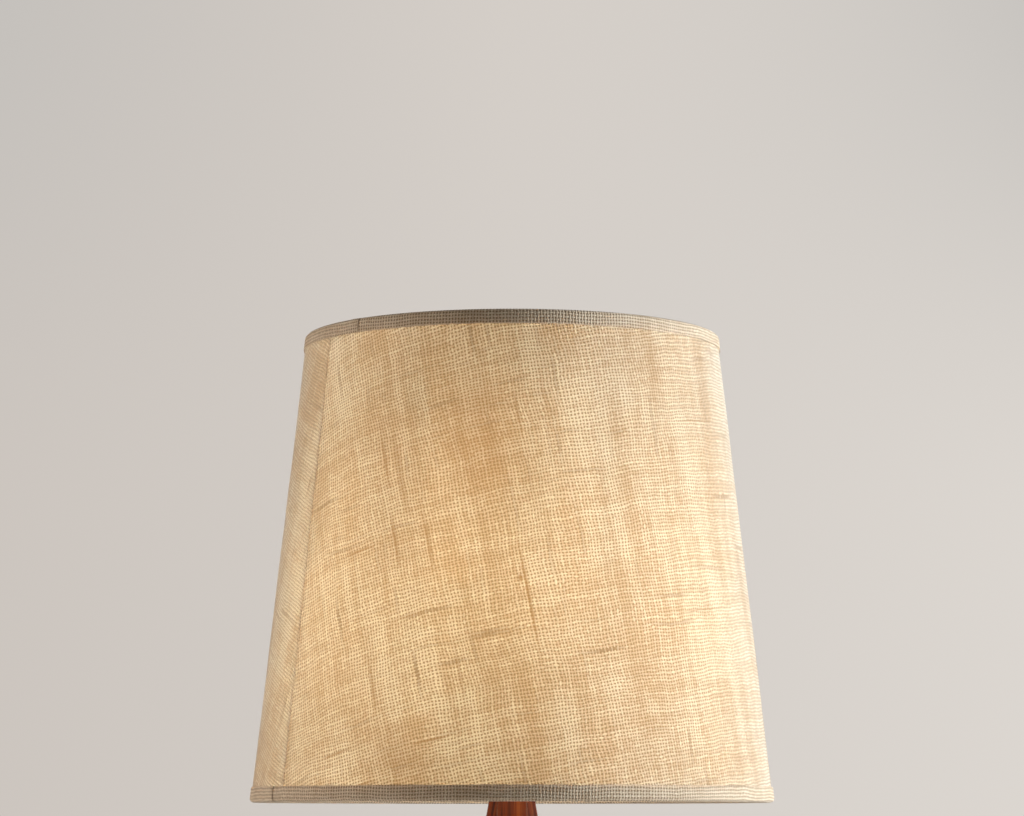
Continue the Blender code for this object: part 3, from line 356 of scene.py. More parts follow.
def makeCloth(name, look, marks=()):
    material, tree, shader = startMaterial(name, 0.92)
    fillSockets(tree, shader, {"Sheen Weight": look["sheen"], "Sheen Roughness": 0.6,
                               "Specular IOR Level": 0.25})
    cloth = addNode(tree, "ShaderNodeUVMap", uv_map="clothMap").outputs["UV"]
    weave = placeGroup(tree, weaveGroup, {"Cloth": cloth, "Pitch": look["pitch"],
                                          "Waver": look["waver"], "Slubs": look["slubs"]})
    tone = calc(tree, "MULTIPLY", weave["Streak"], look["streaks"])
    tone = addShare(tree, tone, weave["Crossing"], 0.42)
    for scale, stretch, share in look["drifts"]:
        drift = placeGroup(tree, blotchGroup, {"Point": cloth, "Scale": scale, "Stretch": stretch})
        tone = addShare(tree, tone, drift["Tone"], share)
    tone = addShare(tree, 0.5, tone, 0.58)
    tone = remap(tree, tone, 0.0, 1.0, kind="LINEAR")
    colour = blend(tree, tone, look["threadDark"], look["threadLight"])
    # painted highlight: the raised crowns of the threads are painted lighter
    crownHighlight = remap(tree, weave["Height"], 0.92, 1.20, 0.0, 0.30)
    colour = blend(tree, crownHighlight, colour, (1.0, 0.93, 0.80))
    # painted shade: the gaps between threads are painted darker
    colour = blend(tree, calc(tree, "MULTIPLY", weave["Gap Shade"], 0.95), colour, look["gap"])
    colour = blend(tree, calc(tree, "MULTIPLY", weave["Slub"], 0.80), colour, look["slub"])
    colour = blend(tree, calc(tree, "MULTIPLY", weave["Fleck"], 0.30), colour, (1.0, 0.93, 0.78))
    dark = 0.0
    for place, halfSize, depth in marks:
        mark = placeGroup(tree, markGroup, {"Cloth": cloth, "Place": place, "Half Size": halfSize,
                                            "Depth": depth})
        dark = calc(tree, "MAXIMUM", mark["Mask"], dark)
    if marks:
        # painted highlight: the marks are painted lighter on the thread crowns
        dark = calc(tree, "MULTIPLY", dark, remap(tree, weave["Height"], 0.6, 1.1, 1.0, 0.75))
        colour = blend(tree, dark, colour, look["mark"])
    normal = bump(tree, weave["Height"], 0.0009, 0.8)
    rough = remap(tree, weave["Streak"], -1.0, 1.0, 0.86, 0.97)
    fillSockets(tree, shader, {"Base Color": colour, "Normal": normal, "Roughness": rough})
    # seen at a slant the threads close up, so less light comes through
    facing = addNode(tree, "ShaderNodeLayerWeight", {"Blend": 0.5}).outputs["Facing"]
    passing = remap(tree, facing, 0.30, 1.0, look["passing"], look["passing"] * 0.25)
    tinted = blend(tree, 1.0, colour, look["passingTint"], "MULTIPLY")
    letLightThrough(tree, shader, tinted, passing, normal)
    return material


def makeLiner():
    material, tree, shader = startMaterial("linerSheet", 0.5)
    point = objectPoint(tree)
    cloud = placeGroup(tree, blotchGroup, {"Point": point, "Scale": 14.0})
    dust = placeGroup(tree, dustGroup, {"Point": point, "Amount": 0.25})
    tone = remap(tree, cloud["Tone"], -1.0, 1.0)
    colour = blend(tree, tone, (0.85, 0.83, 0.78), (0.92, 0.90, 0.86))
    colour = blend(tree, dust["Mask"], colour, (0.55, 0.50, 0.43))
    rough = remap(tree, cloud["Tone"], -1.0, 1.0, 0.42, 0.60)
    normal = bump(tree, noiseValue(tree, point, 700.0, 2.0), 0.0002, 0.4)
    fillSockets(tree, shader, {"Base Color": colour, "Normal": normal, "Roughness": rough})
    letLightThrough(tree, shader, colour, 0.52)
    return material


# wood

woodLook = {
    "deep": (0.044, 0.0060, 0.0008),
    "warm": (0.138, 0.0215, 0.0021),
    "bright": (0.22, 0.046, 0.006),
    "pore": (0.016, 0.0045, 0.0016),
    "worn": (0.33, 0.15, 0.06),
}


def makeWood(name, azimuth, lean, shift):
    # the grain runs down the piece: the point is turned to the piece's own azimuth and lean
    material, tree, shader = startMaterial(name, 0.5)
    fillSockets(tree, shader, {"Specular IOR Level": 0.18, "Coat Weight": 0.02, "Coat Roughness": 0.28})
    turn = addNode(tree, "ShaderNodeMapping", {0: objectPoint(tree), "Rotation": (0, 0, -azimuth)})
    turn.vector_type = "POINT"
    tip = addNode(tree, "ShaderNodeMapping", {0: turn.outputs[0], "Rotation": (0, lean, 0),
                                              "Location": shift})
    point = tip.outputs[0]
    grain = placeGroup(tree, grainGroup, {"Point": point, "Rings": 190.0, "Pores": 1.0})
    tone = calc(tree, "MULTIPLY", grain["Grain"], 0.55)
    tone = addShare(tree, tone, grain["Streak"], 0.45)
    slow = placeGroup(tree, blotchGroup, {"Point": point, "Scale": 9.0, "Stretch": (1.0, 1.0, 0.18)})
    tone = addShare(tree, tone, slow["Tone"], 0.12)
    colour = blend(tree, remap(tree, tone, 0.05, 0.60), woodLook["deep"], woodLook["warm"])
    colour = blend(tree, remap(tree, tone, 0.62, 1.0), colour, woodLook["bright"])
    colour = blend(tree, calc(tree, "MULTIPLY", grain["Pore"], 0.85), colour, woodLook["pore"])
    wear = placeGroup(tree, wearGroup, {"Point": point, "Width": 0.0016, "Amount": 0.35})
    colour = blend(tree, wear["Mask"], colour, woodLook["worn"])
    rough = remap(tree, grain["Streak"], 0.0, 1.0, 0.56, 0.44)
    rough = addShare(tree, rough, grain["Pore"], 0.25)
    normal = bump(tree, grain["Height"], 0.00025, 0.7)
    fillSockets(tree, shader, {"Base Color": colour, "Normal": normal, "Roughness": rough})
    return material


# metals, plastics and the rest

dustColour = (0.45, 0.42, 0.38)


def makeMetal(name, light, dark, roughness, worn):
    material, tree, shader = startMaterial(name, roughness)
    point = objectPoint(tree)
    finish = placeGroup(tree, finishGroup, {"Point": point})
    colour = blend(tree, finish["Polish"], dark, light)
    wear = placeGroup(tree, wearGroup, {"Point": point, "Width": 0.0005, "Amount": 0.5})
    colour = blend(tree, wear["Mask"], colour, worn)
    fall = placeGroup(tree, dustGroup, {"Point": point, "Amount": 0.12})
    colour = blend(tree, fall["Mask"], colour, dustColour)
    rough = remap(tree, finish["Polish"], 0.0, 1.0, roughness + 0.09, roughness - 0.05)
    rough = addShare(tree, rough, fall["Mask"], 0.4)
    normal = bump(tree, finish["Height"], 0.00006, 0.5)
    fillSockets(tree, shader, {"Base Color": colour, "Normal": normal, "Roughness": rough,
                               "Metallic": calc(tree, "SUBTRACT", 1.0, fall["Mask"])})
    return material


def makeMoulded(name, light, dark, roughness, grainScale=1800.0, relief=0.00008):
    material, tree, shader = startMaterial(name, roughness)
    point = objectPoint(tree)
    cloud = placeGroup(tree, blotchGroup, {"Point": point, "Scale": 45.0})
    tone = remap(tree, cloud["Tone"], -1.0, 1.0)
    colour = blend(tree, tone, dark, light)
    wear = placeGroup(tree, wearGroup, {"Point": point, "Width": 0.0005, "Amount": 0.35})
    colour = blend(tree, wear["Mask"], colour, tuple(min(1.0, c * 1.35 + 0.03) for c in light))
    fall = placeGroup(tree, dustGroup, {"Point": point, "Amount": 0.15})
    colour = blend(tree, fall["Mask"], colour, dustColour)
    rough = remap(tree, cloud["Tone"], -1.0, 1.0, roughness - 0.06, roughness + 0.08)
    normal = bump(tree, noiseValue(tree, point, grainScale, 2.0), relief, 0.6)
    fillSockets(tree, shader, {"Base Color": colour, "Normal": normal, "Roughness": rough})
    return material


globeLook = {"colour": (0.90, 0.86, 0.78), "glow": (1.0, 0.90, 0.76), "strength": 97.0}


def makeGlobe():
    # a frosted diffuser that is alight, a little dimmer towards its rim
    material, tree, shader = startMaterial("litGlobe", 0.35)
    shader.inputs["Emission Strength"].default_value = globeLook["strength"]
    point = objectPoint(tree)
    cloud = placeGroup(tree, blotchGroup, {"Point": point, "Scale": 40.0})
    tone = remap(tree, cloud["Tone"], -1.0, 1.0)
    low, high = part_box("bulb_globe")
    rise = addNode(tree, "ShaderNodeSeparateXYZ", {0: point}).outputs[2]
    rise = remap(tree, rise, low[2], low[2] + 0.4 * (high[2] - low[2]))
    colour = blend(tree, tone, (0.86, 0.82, 0.74), globeLook["colour"])
    glow = blend(tree, rise, tuple(c * 0.75 for c in globeLook["glow"]), globeLook["glow"])
    rough = remap(tree, cloud["Tone"], -1.0, 1.0, 0.30, 0.42)
    normal = bump(tree, noiseValue(tree, point, 2400.0, 2.0), 0.00005, 0.5)
    fillSockets(tree, shader, {"Base Color": colour, "Emission Color": glow, "Normal": normal,
                               "Roughness": rough})
    return material


trimCloth = makeCloth("trimCloth", trimLook)
linerSheet = makeLiner()
satinBrass = makeMetal("satinBrass", (0.70, 0.49, 0.22), (0.52, 0.34, 0.13), 0.28, (0.86, 0.68, 0.38))
contactBrass = makeMetal("contactBrass", (0.74, 0.55, 0.30), (0.58, 0.40, 0.18), 0.34, (0.88, 0.72, 0.45))
platedSteel = makeMetal("platedSteel", (0.66, 0.65, 0.62), (0.48, 0.47, 0.45), 0.30, (0.80, 0.79, 0.76))
darkOxide = makeMetal("darkOxide", (0.055, 0.050, 0.046), (0.030, 0.027, 0.025), 0.42, (0.32, 0.30, 0.27))
padRubber = makeMoulded("padRubber", (0.035, 0.034, 0.032), (0.020, 0.019, 0.018), 0.82, 900.0, 0.0002)
blackMoulded = makeMoulded("blackMoulded", (0.020, 0.019, 0.018), (0.012, 0.011, 0.011), 0.33)
whiteMoulded = makeMoulded("whiteMoulded", (0.80, 0.80, 0.77), (0.73, 0.72, 0.69), 0.38)
boardWhite = makeMoulded("boardWhite", (0.80, 0.81, 0.80), (0.72, 0.73, 0.70), 0.45)
fibrePaper = makeMoulded("fibrePaper", (0.42, 0.29, 0.17), (0.32, 0.21, 0.12), 0.82, 1100.0, 0.0002)
litGlobe = makeGlobe()
print("materials ready")


# mesh helpers

def placePiece(name, work, material, body, replaced):
    mesh = bpy.data.meshes.new(name)
    work.to_mesh(mesh)
    work.free()
    mesh.shade_smooth()
    mesh.materials.append(material)
    piece = bpy.data.objects.new(name, mesh)
    bpy.context.scene.collection.objects.link(piece)
    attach(piece, body)
    if replaced:
        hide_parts(*replaced)
    return piece


def finishPiece(name, work, material, replaced=(), body="stand", smoothAngle=35):
    bmesh.ops.recalc_face_normals(work, faces=work.faces)
    piece = placePiece(name, work, material, body, replaced)
    piece.data.set_sharp_from_angle(angle=radians(smoothAngle))
    return piece


def ringOf(work, radius, height, sides, at=(0.0, 0.0)):
    turns = [2 * pi * step / sides for step in range(sides)]
    return [work.verts.new((at[0] + radius * cos(t), at[1] + radius * sin(t), height)) for t in turns]


def joinRings(work, pairs):
    # a ring may be a single point
    for lower, upper in pairs:
        sides = max(len(lower), len(upper))
        for step in range(sides):
            other = (step + 1) % sides
            corners = dict.fromkeys([lower[step % len(lower)], lower[other % len(lower)],
                                     upper[other % len(upper)], upper[step % len(upper)]])
            if len(corners) > 2:
                work.faces.new(list(corners))


def turnedPiece(name, outline, material, replaced=(), body="stand", sides=72, at=(0.0, 0.0), closed=True):
    # outline: (radius, height) points; an open one starts and ends on the axis
    work = bmesh.new()
    rings = []
    for radius, height in outline:
        if radius < 1e-6:
            rings.append([work.verts.new((at[0], at[1], height))])
        else:
            rings.append(ringOf(work, radius, height, sides, at))
    joinRings(work, zip(rings, rings[1:]))
    if closed:
        joinRings(work, [(rings[-1], rings[0])])
    return finishPiece(name, work, material, replaced, body)


def roundOff(outline, size, steps=3):
    # rounds every corner of a closed outline, as far as its sides allow
    rounded = []
    count = len(outline)
    for index in range(count):
        corner = Vector(outline[index])
        before = Vector(outline[index - 1])
        after = Vector(outline[(index + 1) % count])
        if corner.x < 1e-6:
            rounded.append(tuple(corner))
            continue
        back, ahead = before - corner, after - corner
        reach = min(size, back.length * 0.45, ahead.length * 0.45)
        start, end = corner + back.normalized() * reach, corner + ahead.normalized() * reach
        for step in range(steps + 1):
            t = step / steps
            point = (1 - t) ** 2 * start + 2 * t * (1 - t) * corner + t * t * end
            rounded.append(tuple(point))
    return rounded


def threadedPiece(name, radius, inner, depth, pitch, low, high, material, replaced=(), body="stand",
                  sides=48, fade=0.0015):
    # a tube or rod with a real helix on its outside, which fades out over both ends
    work = bmesh.new()
    rows = max(2, int((high - low) / pitch * 8))
    grid = []
    for row in range(rows + 1):
        z = low + (high - low) * row / rows
        ends = min((z - low) / fade, (high - z) / fade, 1.0)
        ring = []
        for step in range(sides):
            turn = 2 * pi * step / sides
            wave = 0.5 + 0.5 * sin(2 * pi * (z / pitch) - turn)
            r = radius - depth * (1.0 - wave * max(ends, 0.0))
            ring.append(work.verts.new((r * cos(turn), r * sin(turn), z)))
        grid.append(ring)
    if inner > 0:
        grid += [ringOf(work, inner, high, sides), ringOf(work, inner, low, sides)]
        joinRings(work, list(zip(grid, grid[1:])) + [(grid[-1], grid[0])])
    else:
        work.faces.new(grid[0])
        work.faces.new(grid[-1])
        joinRings(work, zip(grid, grid[1:]))
    return finishPiece(name, work, material, replaced, body)


def wirePiece(name, points, radius, material, replaced=(), body="stand", sides=16):
    # a round wire through points, with domed ends
    work = bmesh.new()
    rings = []
    side = None
    for index, point in enumerate(points):
        tangent = (points[min(index + 1, len(points) - 1)] - points[max(index - 1, 0)]).normalized()
        if side is None:
            side = tangent.orthogonal().normalized()
        side = (side - tangent * side.dot(tangent)).normalized()
        up = tangent.cross(side)
        turns = [2 * pi * step / sides for step in range(sides)]
        rings.append([work.verts.new(point + radius * (cos(t) * side + sin(t) * up)) for t in turns])
    joinRings(work, zip(rings, rings[1:]))
    for ring, index, way in ((rings[0], 0, 1), (rings[-1], -1, -1)):
        outward = (points[index] - points[index + way]).normalized()
        joinRings(work, [(ring, [work.verts.new(points[index] + outward * radius * 0.35)])])
    return finishPiece(name, work, material, replaced, body, smoothAngle=60)


def bezierPoints(a, b, c, d, steps):
    points = []
    for step in range(steps + 1):
        t = step / steps
        s = 1 - t
        points.append(s**3 * a + 3 * s * s * t * b + 3 * s * t * t * c + t**3 * d)
    return points


nodeBoxes = {name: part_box(name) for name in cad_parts}


def lowOf(node):
    return nodeBoxes[node][0][2]


def highOf(node):
    return nodeBoxes[node][1][2]


def radiusOf(node):
    low, high = nodeBoxes[node]
    return (high[0] - low[0]) / 2


def centreOf(node):
    low, high = nodeBoxes[node]
    return ((low[0] + high[0]) / 2, (low[1] + high[1]) / 2)


def measure(node):
    return lowOf(node), highOf(node), radiusOf(node)


# the shade's skins

coverLow, coverHigh = lowOf("shade_fabric"), highOf("shade_fabric")
ringTopZ = (lowOf("ring_top") + highOf("ring_top")) / 2
ringBottomZ = (lowOf("ring_bottom") + highOf("ring_bottom")) / 2
taper = (radiusOf("ring_bottom") - radiusOf("ring_top")) / (ringTopZ - ringBottomZ)
lean = atan(taper)
bottomEdge, topEdge = lowOf("trim_bottom"), highOf("trim_top")

shadeShape = {
    "seamAzimuth": radians(212),    # where the cover's ends overlap
    "overlap": 0.003,
    "warpLean": radians(-11),       # how far the warp leans at the front
    "frontAzimuth": radians(270),
    "unevenness": 0.00035,          # the cloth's small bulges
    "inset": 0.0006,                # from the shade's edges to the cover's
    "columns": 420,
    "rows": 72,
}


def coverRadius(z):
    return radiusOf("shade_fabric") - taper * (z - coverLow)


def skinPoint(azimuth, z, outward):
    radius = coverRadius(z) + outward * cos(lean)
    return Vector((radius * cos(azimuth), radius * sin(azimuth), z + outward * sin(lean)))


def clothPoint(azimuth, z):
    # the cone laid out flat, with the warp leaning by the chosen angle at the front
    slant = coverRadius(z) / sin(lean)
    turned = (azimuth - shadeShape["frontAzimuth"]) * sin(lean) + shadeShape["warpLean"]
    return slant * sin(turned), -slant * cos(turned)


def lapLift(turn, lap, start, over, height):
    # past a full turn the sheet's end lies over its start
    return height * min(max((turn - 2 * pi + lap * start) / (lap * over), 0.0), 1.0)


def gridPiece(name, rows, columns, lap, place, mapped, material, replaced):
    # an open sheet once round plus a lap, with its flat cloth coordinates in a UV layer
    work = bmesh.new()
    layer = work.loops.layers.uv.new("clothMap")
    turns = [(2 * pi + lap) * (c / columns) for c in range(columns + 1)]
    grid = [[work.verts.new(place(r / rows, turn)) for turn in turns] for r in range(rows + 1)]
    for r in range(rows):
        for c in range(columns):
            face = work.faces.new((grid[r][c], grid[r][c + 1], grid[r + 1][c + 1], grid[r + 1][c]))
            for loop, (dr, dc) in zip(face.loops, ((0, 0), (0, 1), (1, 1), (1, 0))):
                loop[layer].uv = mapped((r + dr) / rows, turns[c + dc])
    return placePiece(name, work, material, "shade", replaced)


def buildCover():
    shape = shadeShape
    lap = shape["overlap"] / radiusOf("shade_fabric")
    start = shape["seamAzimuth"] - lap
    low, high = coverLow + shape["inset"], coverHigh - shape["inset"]

    def place(r, turn):
        azimuth = start + turn
        z = low + (high - low) * r
        spot = Vector((azimuth * 3.1, z * 9.0, 0.0))
        bulge = noise.noise(spot) + 0.5 * noise.noise(spot * 3.3)
        lifted = lapLift(turn, lap, 0.4, 0.5, 0.0004)
        return skinPoint(azimuth, z, lifted - 0.0004 + shape["unevenness"] * bulge)

    def mapped(r, turn):
        return clothPoint(start + turn, low + (high - low) * r)

    cover = gridPiece("linenCover", shape["rows"], shape["columns"], lap, place, mapped, linenCloth,
                      ("shade_fabric",))
    meanRadius = (coverRadius(low) + coverRadius(high)) / 2
    return cover


linerShape = {"seamAzimuth": radians(95), "overlap": 0.010, "columns": 240, "rows": 24}


def buildLiner():
    shape = linerShape
    inward = radiusOf("shade_liner") - radiusOf("shade_fabric")
    lap = shape["overlap"] / radiusOf("shade_liner")
    low, high = lowOf("shade_liner"), highOf("shade_liner")

    def place(r, turn):
        lifted = lapLift(turn, lap, 0.4, 0.4, -0.0005)
        return skinPoint(shape["seamAzimuth"] + turn, low + (high - low) * r, inward - 0.0003 + lifted)

    def mapped(r, turn):
        return clothPoint(shape["seamAzimuth"] + turn, low + (high - low) * r)

    return gridPiece("linerDrum", shape["rows"], shape["columns"], lap, place, mapped, linerSheet,
                     ("shade_liner",))


trimShape = {
    "width": 0.0128,
    "inside": 0.0085,
    "proud": 0.0009,       # thickness over the cover
    "innerFace": -0.0066,  # from the cover's face to the fold's inside
    "fold": 0.0034,        # depth of the rounded fold
    "waver": 0.00035,
    "lap": 0.012,
    "blank": 0.034,        # the strip's full width, laid flat
}


def buildTrim(name, node, atTop):
    shape = trimShape
    edge = topEdge if atTop else bottomEdge
    way = -1 if atTop else 1
    half = (shape["proud"] - shape["innerFace"]) / 2
    centre = (shape["proud"] + shape["innerFace"]) / 2
    width, proud = shape["width"], shape["proud"]
    profile = [(width, 0.0), (width + 0.0001, proud * 0.6), (width - 0.0004, proud)]
    profile += [(width - (width - shape["fold"]) * k / 5, proud) for k in range(1, 6)]
    turns = [pi / 2 * k / 6 for k in range(1, 13)]
    profile += [(shape["fold"] * (1 - sin(t)), centre + half * cos(t)) for t in turns]
    profile += [(shape["fold"] + (shape["inside"] - shape["fold"]) * k / 3, shape["innerFace"])
                for k in range(1, 4)]
    profile += [(shape["inside"] + 0.0002, shape["innerFace"] + 0.0005), (shape["inside"], -0.0022)]
    lengths = [0.0]
    for (s0, n0), (s1, n1) in zip(profile, profile[1:]):
        lengths.append(lengths[-1] + hypot(s1 - s0, n1 - n0))
    lap = shape["lap"] / radiusOf(node)
    start = shadeShape["seamAzimuth"] + (radians(9) if atTop else radians(-7))
    seed = 4.7 if atTop else 11.3

    def place(r, turn):
        s, n = profile[round(r * (len(profile) - 1))]
        azimuth = start + turn
        wave = noise.noise(Vector((azimuth * 6.0, seed, 0.0)))
        fine = noise.noise(Vector((azimuth * 34.0, seed, 5.0)))
        if s > shape["fold"] and n > 0.0:
            s += shape["waver"] * (wave + 0.5 * fine) * (s / width)
        outward = 1 if n > centre else -1
        n += outward * (lapLift(turn, lap, 0.3, 0.4, 0.0006) + 0.00012 * fine)
        return skinPoint(azimuth, edge + way * s * cos(lean), n)

    def mapped(r, turn):
        return (start + turn) * radiusOf(node), lengths[round(r * (len(profile) - 1))]

    return gridPiece(name, len(profile) - 1, 480, lap, place, mapped, trimCloth, (node,))


# the cover's larger slubs and darker patches: azimuth in degrees, height over the bottom edge,
# direction, length, width, depth of tone
clothMarks = (
    (237.2, 0.279, "warp", 0.070, 0.0050, 0.80),
    (241.6, 0.210, "warp", 0.070, 0.0055, 0.80),
    (250.2, 0.209, "warp", 0.070, 0.0050, 0.65),
    (273.8, 0.163, "warp", 0.130, 0.0040, 0.90),
    (271.5, 0.314, "warp", 0.060, 0.0030, 0.65),
    (258.4, 0.104, "warp", 0.075, 0.0045, 0.55),
    (237.9, 0.093, "warp", 0.070, 0.0050, 0.55),
    (241.6, 0.270, "warp", 0.080, 0.0110, 0.50),
    (231.5, 0.203, "weft", 0.045, 0.0040, 0.75),
    (229.5, 0.037, "weft", 0.050, 0.0034, 0.80),
    (252.7, 0.047, "weft", 0.048, 0.0040, 0.75),
    (246.6, 0.148, "weft", 0.050, 0.0060, 0.50),
    (325.2, 0.317, "weft", 0.080, 0.0026, 0.70),
    (321.2, 0.157, "weft", 0.100, 0.0026, 0.60),
    (237.4, 0.012, "weft", 0.030, 0.0034, 0.70),
    (271.9, 0.178, "warp", 0.010, 0.0060, 1.00),
    (261.0, 0.302, "warp", 0.170, 0.0900, 0.36),
    (244.4, 0.033, "warp", 0.070, 0.0500, 0.30),
    (96.0, 0.240, "warp", 0.090, 0.0045, 0.70),
    (64.0, 0.120, "weft", 0.070, 0.0034, 0.65),
    (131.0, 0.310, "warp", 0.120, 0.0500, 0.30),
    (152.0, 0.090, "weft", 0.050, 0.0040, 0.70),
    (18.0, 0.205, "warp", 0.080, 0.0040, 0.60),
)


def clothMarkSizes():
    sizes = []
    for degrees, rise, direction, length, width, depth in clothMarks:
        azimuth = radians(degrees)
        if azimuth < shadeShape["seamAzimuth"]:
            azimuth += 2 * pi
        x, y = clothPoint(azimuth, coverLow + rise)
        half = (width / 2, length / 2, 1.0) if direction == "warp" else (length / 2, width / 2, 1.0)
        sizes.append(((x, y, 0.0), half, depth))
    return sizes


linenCloth = makeCloth("linenCloth", linenLook, clothMarkSizes())
linerDrum = buildLiner()
linenCover = buildCover()
trimBandTop = buildTrim("trimBandTop", "trim_top", True)
trimBandBottom = buildTrim("trimBandBottom", "trim_bottom", False)
for band, node in ((trimBandTop, "trim_top"), (trimBandBottom, "trim_bottom")):
    bandLength = 2 * pi * radiusOf(node) + trimShape["lap"]
print("shade skins ready")


# the shade's wire carrier

carrierShape = {
    "arm": 0.0018,          # the wire's radius
    "armBend": 0.020,
    "kneeIn": 0.006,        # from the wall to the knee
    "kneeBelowTrim": 0.004,
    "rise": 0.006,          # the foot's straight end
}


def buildCarrier():
    hubLow, hubHigh = lowOf("spider_hub"), highOf("spider_hub")
    shape = carrierShape
    hubRadius, hole = radiusOf("spider_hub"), radiusOf("finial") * 0.5
    outline = roundOff([(hubRadius, hubLow), (hubRadius, hubHigh), (hole, hubHigh), (hole, hubLow)],
                       0.0005)
    turnedPiece("carrierHub", outline, platedSteel, ("spider_hub",), body="shade")
    level = (hubLow + hubHigh) / 2
    ringInside = radiusOf("ring_top") - (highOf("ring_top") - lowOf("ring_top"))
    for name, degrees in (("back", 90), ("left", 210), ("right", 330)):
        turn = Matrix.Rotation(radians(degrees), 3, "Z")
        wallAt = ringInside + shape["arm"] * 0.9
        start = Vector((hubRadius - 0.001, 0, level))
        out = Vector((hubRadius + shape["armBend"], 0, level))
        knee = Vector((wallAt - shape["kneeIn"], 0, lowOf("trim_top") - shape["kneeBelowTrim"]))
        foot = Vector((wallAt, 0, ringTopZ - 0.002))
        path = bezierPoints(start, out, knee - (knee - out) * 0.35, knee, 22)[:-1]
        below = foot - Vector((0, 0, shape["rise"]))
        path += bezierPoints(knee, knee + (knee - out) * 0.02, below, foot, 8)
        path = [turn @ p for p in path]
        wirePiece("carrierArm_" + name, path, shape["arm"], platedSteel,
                  ("spider_arm_" + name,), body="shade")


buildCarrier()


# harp, saddle and finial

harpShape = {
    "wire": 0.0020,             # radius
    "straight": 0.034,          # heights over the sleeves' lower ends
    "widest": 0.1518,
    "bossRadius": 0.0055,
    "bossHeight": 0.0080,
    "bossHole": 0.0024,
    "threadRadius": 0.0030,
    "threadCore": 0.0028,
    "threadDepth": 0.0003,
    "threadPitch": 0.0010,
    "gap": 0.0002,
}


def buildHarp():
    shape = harpShape
    saddleTop = lowOf("harp_sleeve_right")
    wireLow, wireHigh = lowOf("harp_loop"), highOf("harp_loop")
    radius, gap = shape["wire"], shape["gap"]
    spread = centreOf("harp_sleeve_right")[0]
    halfWidth = radiusOf("harp_loop") - radius
    bossLow = wireHigh - shape["bossHeight"]
    wireTop = bossLow + shape["bossHeight"] / 2
    straight = saddleTop + shape["straight"]
    widest = saddleTop + shape["widest"]
    half = [Vector((spread, 0, wireLow)), Vector((spread, 0, (wireLow + straight) / 2))]
    half += bezierPoints(Vector((spread, 0, straight)), Vector((spread, 0, straight + 0.040)),
                         Vector((halfWidth, 0, widest - 0.060)), Vector((halfWidth, 0, widest)), 22)[:-1]
    half += bezierPoints(Vector((halfWidth, 0, widest)), Vector((halfWidth, 0, widest + 0.110)),
                         Vector((halfWidth * 0.8, 0, wireTop)), Vector((0.0040, 0, wireTop)), 34)
    left = [Vector((-p.x, 0, p.z)) for p in half]
    wirePiece("harpWire", left + half[::-1], radius, platedSteel, ("harp_loop",))
    wide, hole = shape["bossRadius"], shape["bossHole"]
    boss = roundOff([(wide, bossLow), (wide, wireHigh), (hole, wireHigh), (hole, bossLow)], 0.0008)
    turnedPiece("harpBoss", boss, platedSteel, sides=48)

    studLow, studHigh = lowOf("harp_stud"), highOf("harp_stud")
    seatRadius = radiusOf("harp_stud")
    seatLow, seatHigh, core = wireHigh + gap, lowOf("spider_hub") - gap, shape["threadCore"]
    seat = roundOff([(seatRadius, seatLow), (seatRadius, seatHigh), (core, seatHigh), (core, seatLow)],
                    0.0005)
    turnedPiece("harpSeat", seat, platedSteel, ("harp_stud",), sides=48)
    threadedPiece("harpThread", shape["threadRadius"], 0.0, shape["threadDepth"], shape["threadPitch"],
                  seatHigh - 0.0008, studHigh, platedSteel, sides=32)
    rivet = [(0.0, studLow), (0.0024, studLow + 0.0001), (0.0038, studLow + 0.0007),
             (0.0040, bossLow - gap), (0.0, bossLow - gap)]
    turnedPiece("harpRivet", rivet, platedSteel, sides=36, closed=False)

    for side in ("left", "right"):
        node = "harp_sleeve_" + side
        low, high, outer = measure(node)
        inner, neck = outer - 0.0015, outer - 0.0005
        outline = [(inner, low), (outer - 0.0003, low), (outer, low + 0.0004), (outer, low + 0.0016),
                   (neck, low + 0.0026), (neck, low + 0.0042), (outer - 0.0008, low + 0.0046),
                   (neck, low + 0.0050), (neck, high - 0.0022), (outer - 0.0008, high - 0.0008),
                   (outer - 0.0014, high), (inner, high)]
        turnedPiece("harpSleeve_" + side, outline, satinBrass, (node,), body="sleeve_" + side, sides=48,
                    at=centreOf(node))


def buildFinial():
    low, high, wide = measure("finial")
    ball = 0.0065
    middle = high - ball
    hole = 0.0033
    outline = [(hole, low), (wide - 0.0006, low), (wide, low + 0.0006), (wide, low + 0.0014),
               (wide - 0.0008, low + 0.0022), (0.0058, low + 0.0027), (0.0062, low + 0.0034),
               (0.0054, low + 0.0042), (0.0044, low + 0.0058), (0.0040, low + 0.0080),
               (0.0040, middle - ball * 0.98), (0.0047, middle - ball * 0.80)]
    outline += [(ball * cos(radians(a)), middle + ball * sin(radians(a))) for a in range(-42, 85, 7)]
    outline += [(0.0, high), (0.0, high - 0.007), (hole, high - 0.0095)]
    turnedPiece("finialKnob", outline, satinBrass, ("finial",), body="finial", sides=64)


buildHarp()
buildFinial()
print("harp and finial ready")


# socket, switch and the pieces on the pipe

pipeBore = 0.0054       # hole of every piece that the pipe passes through


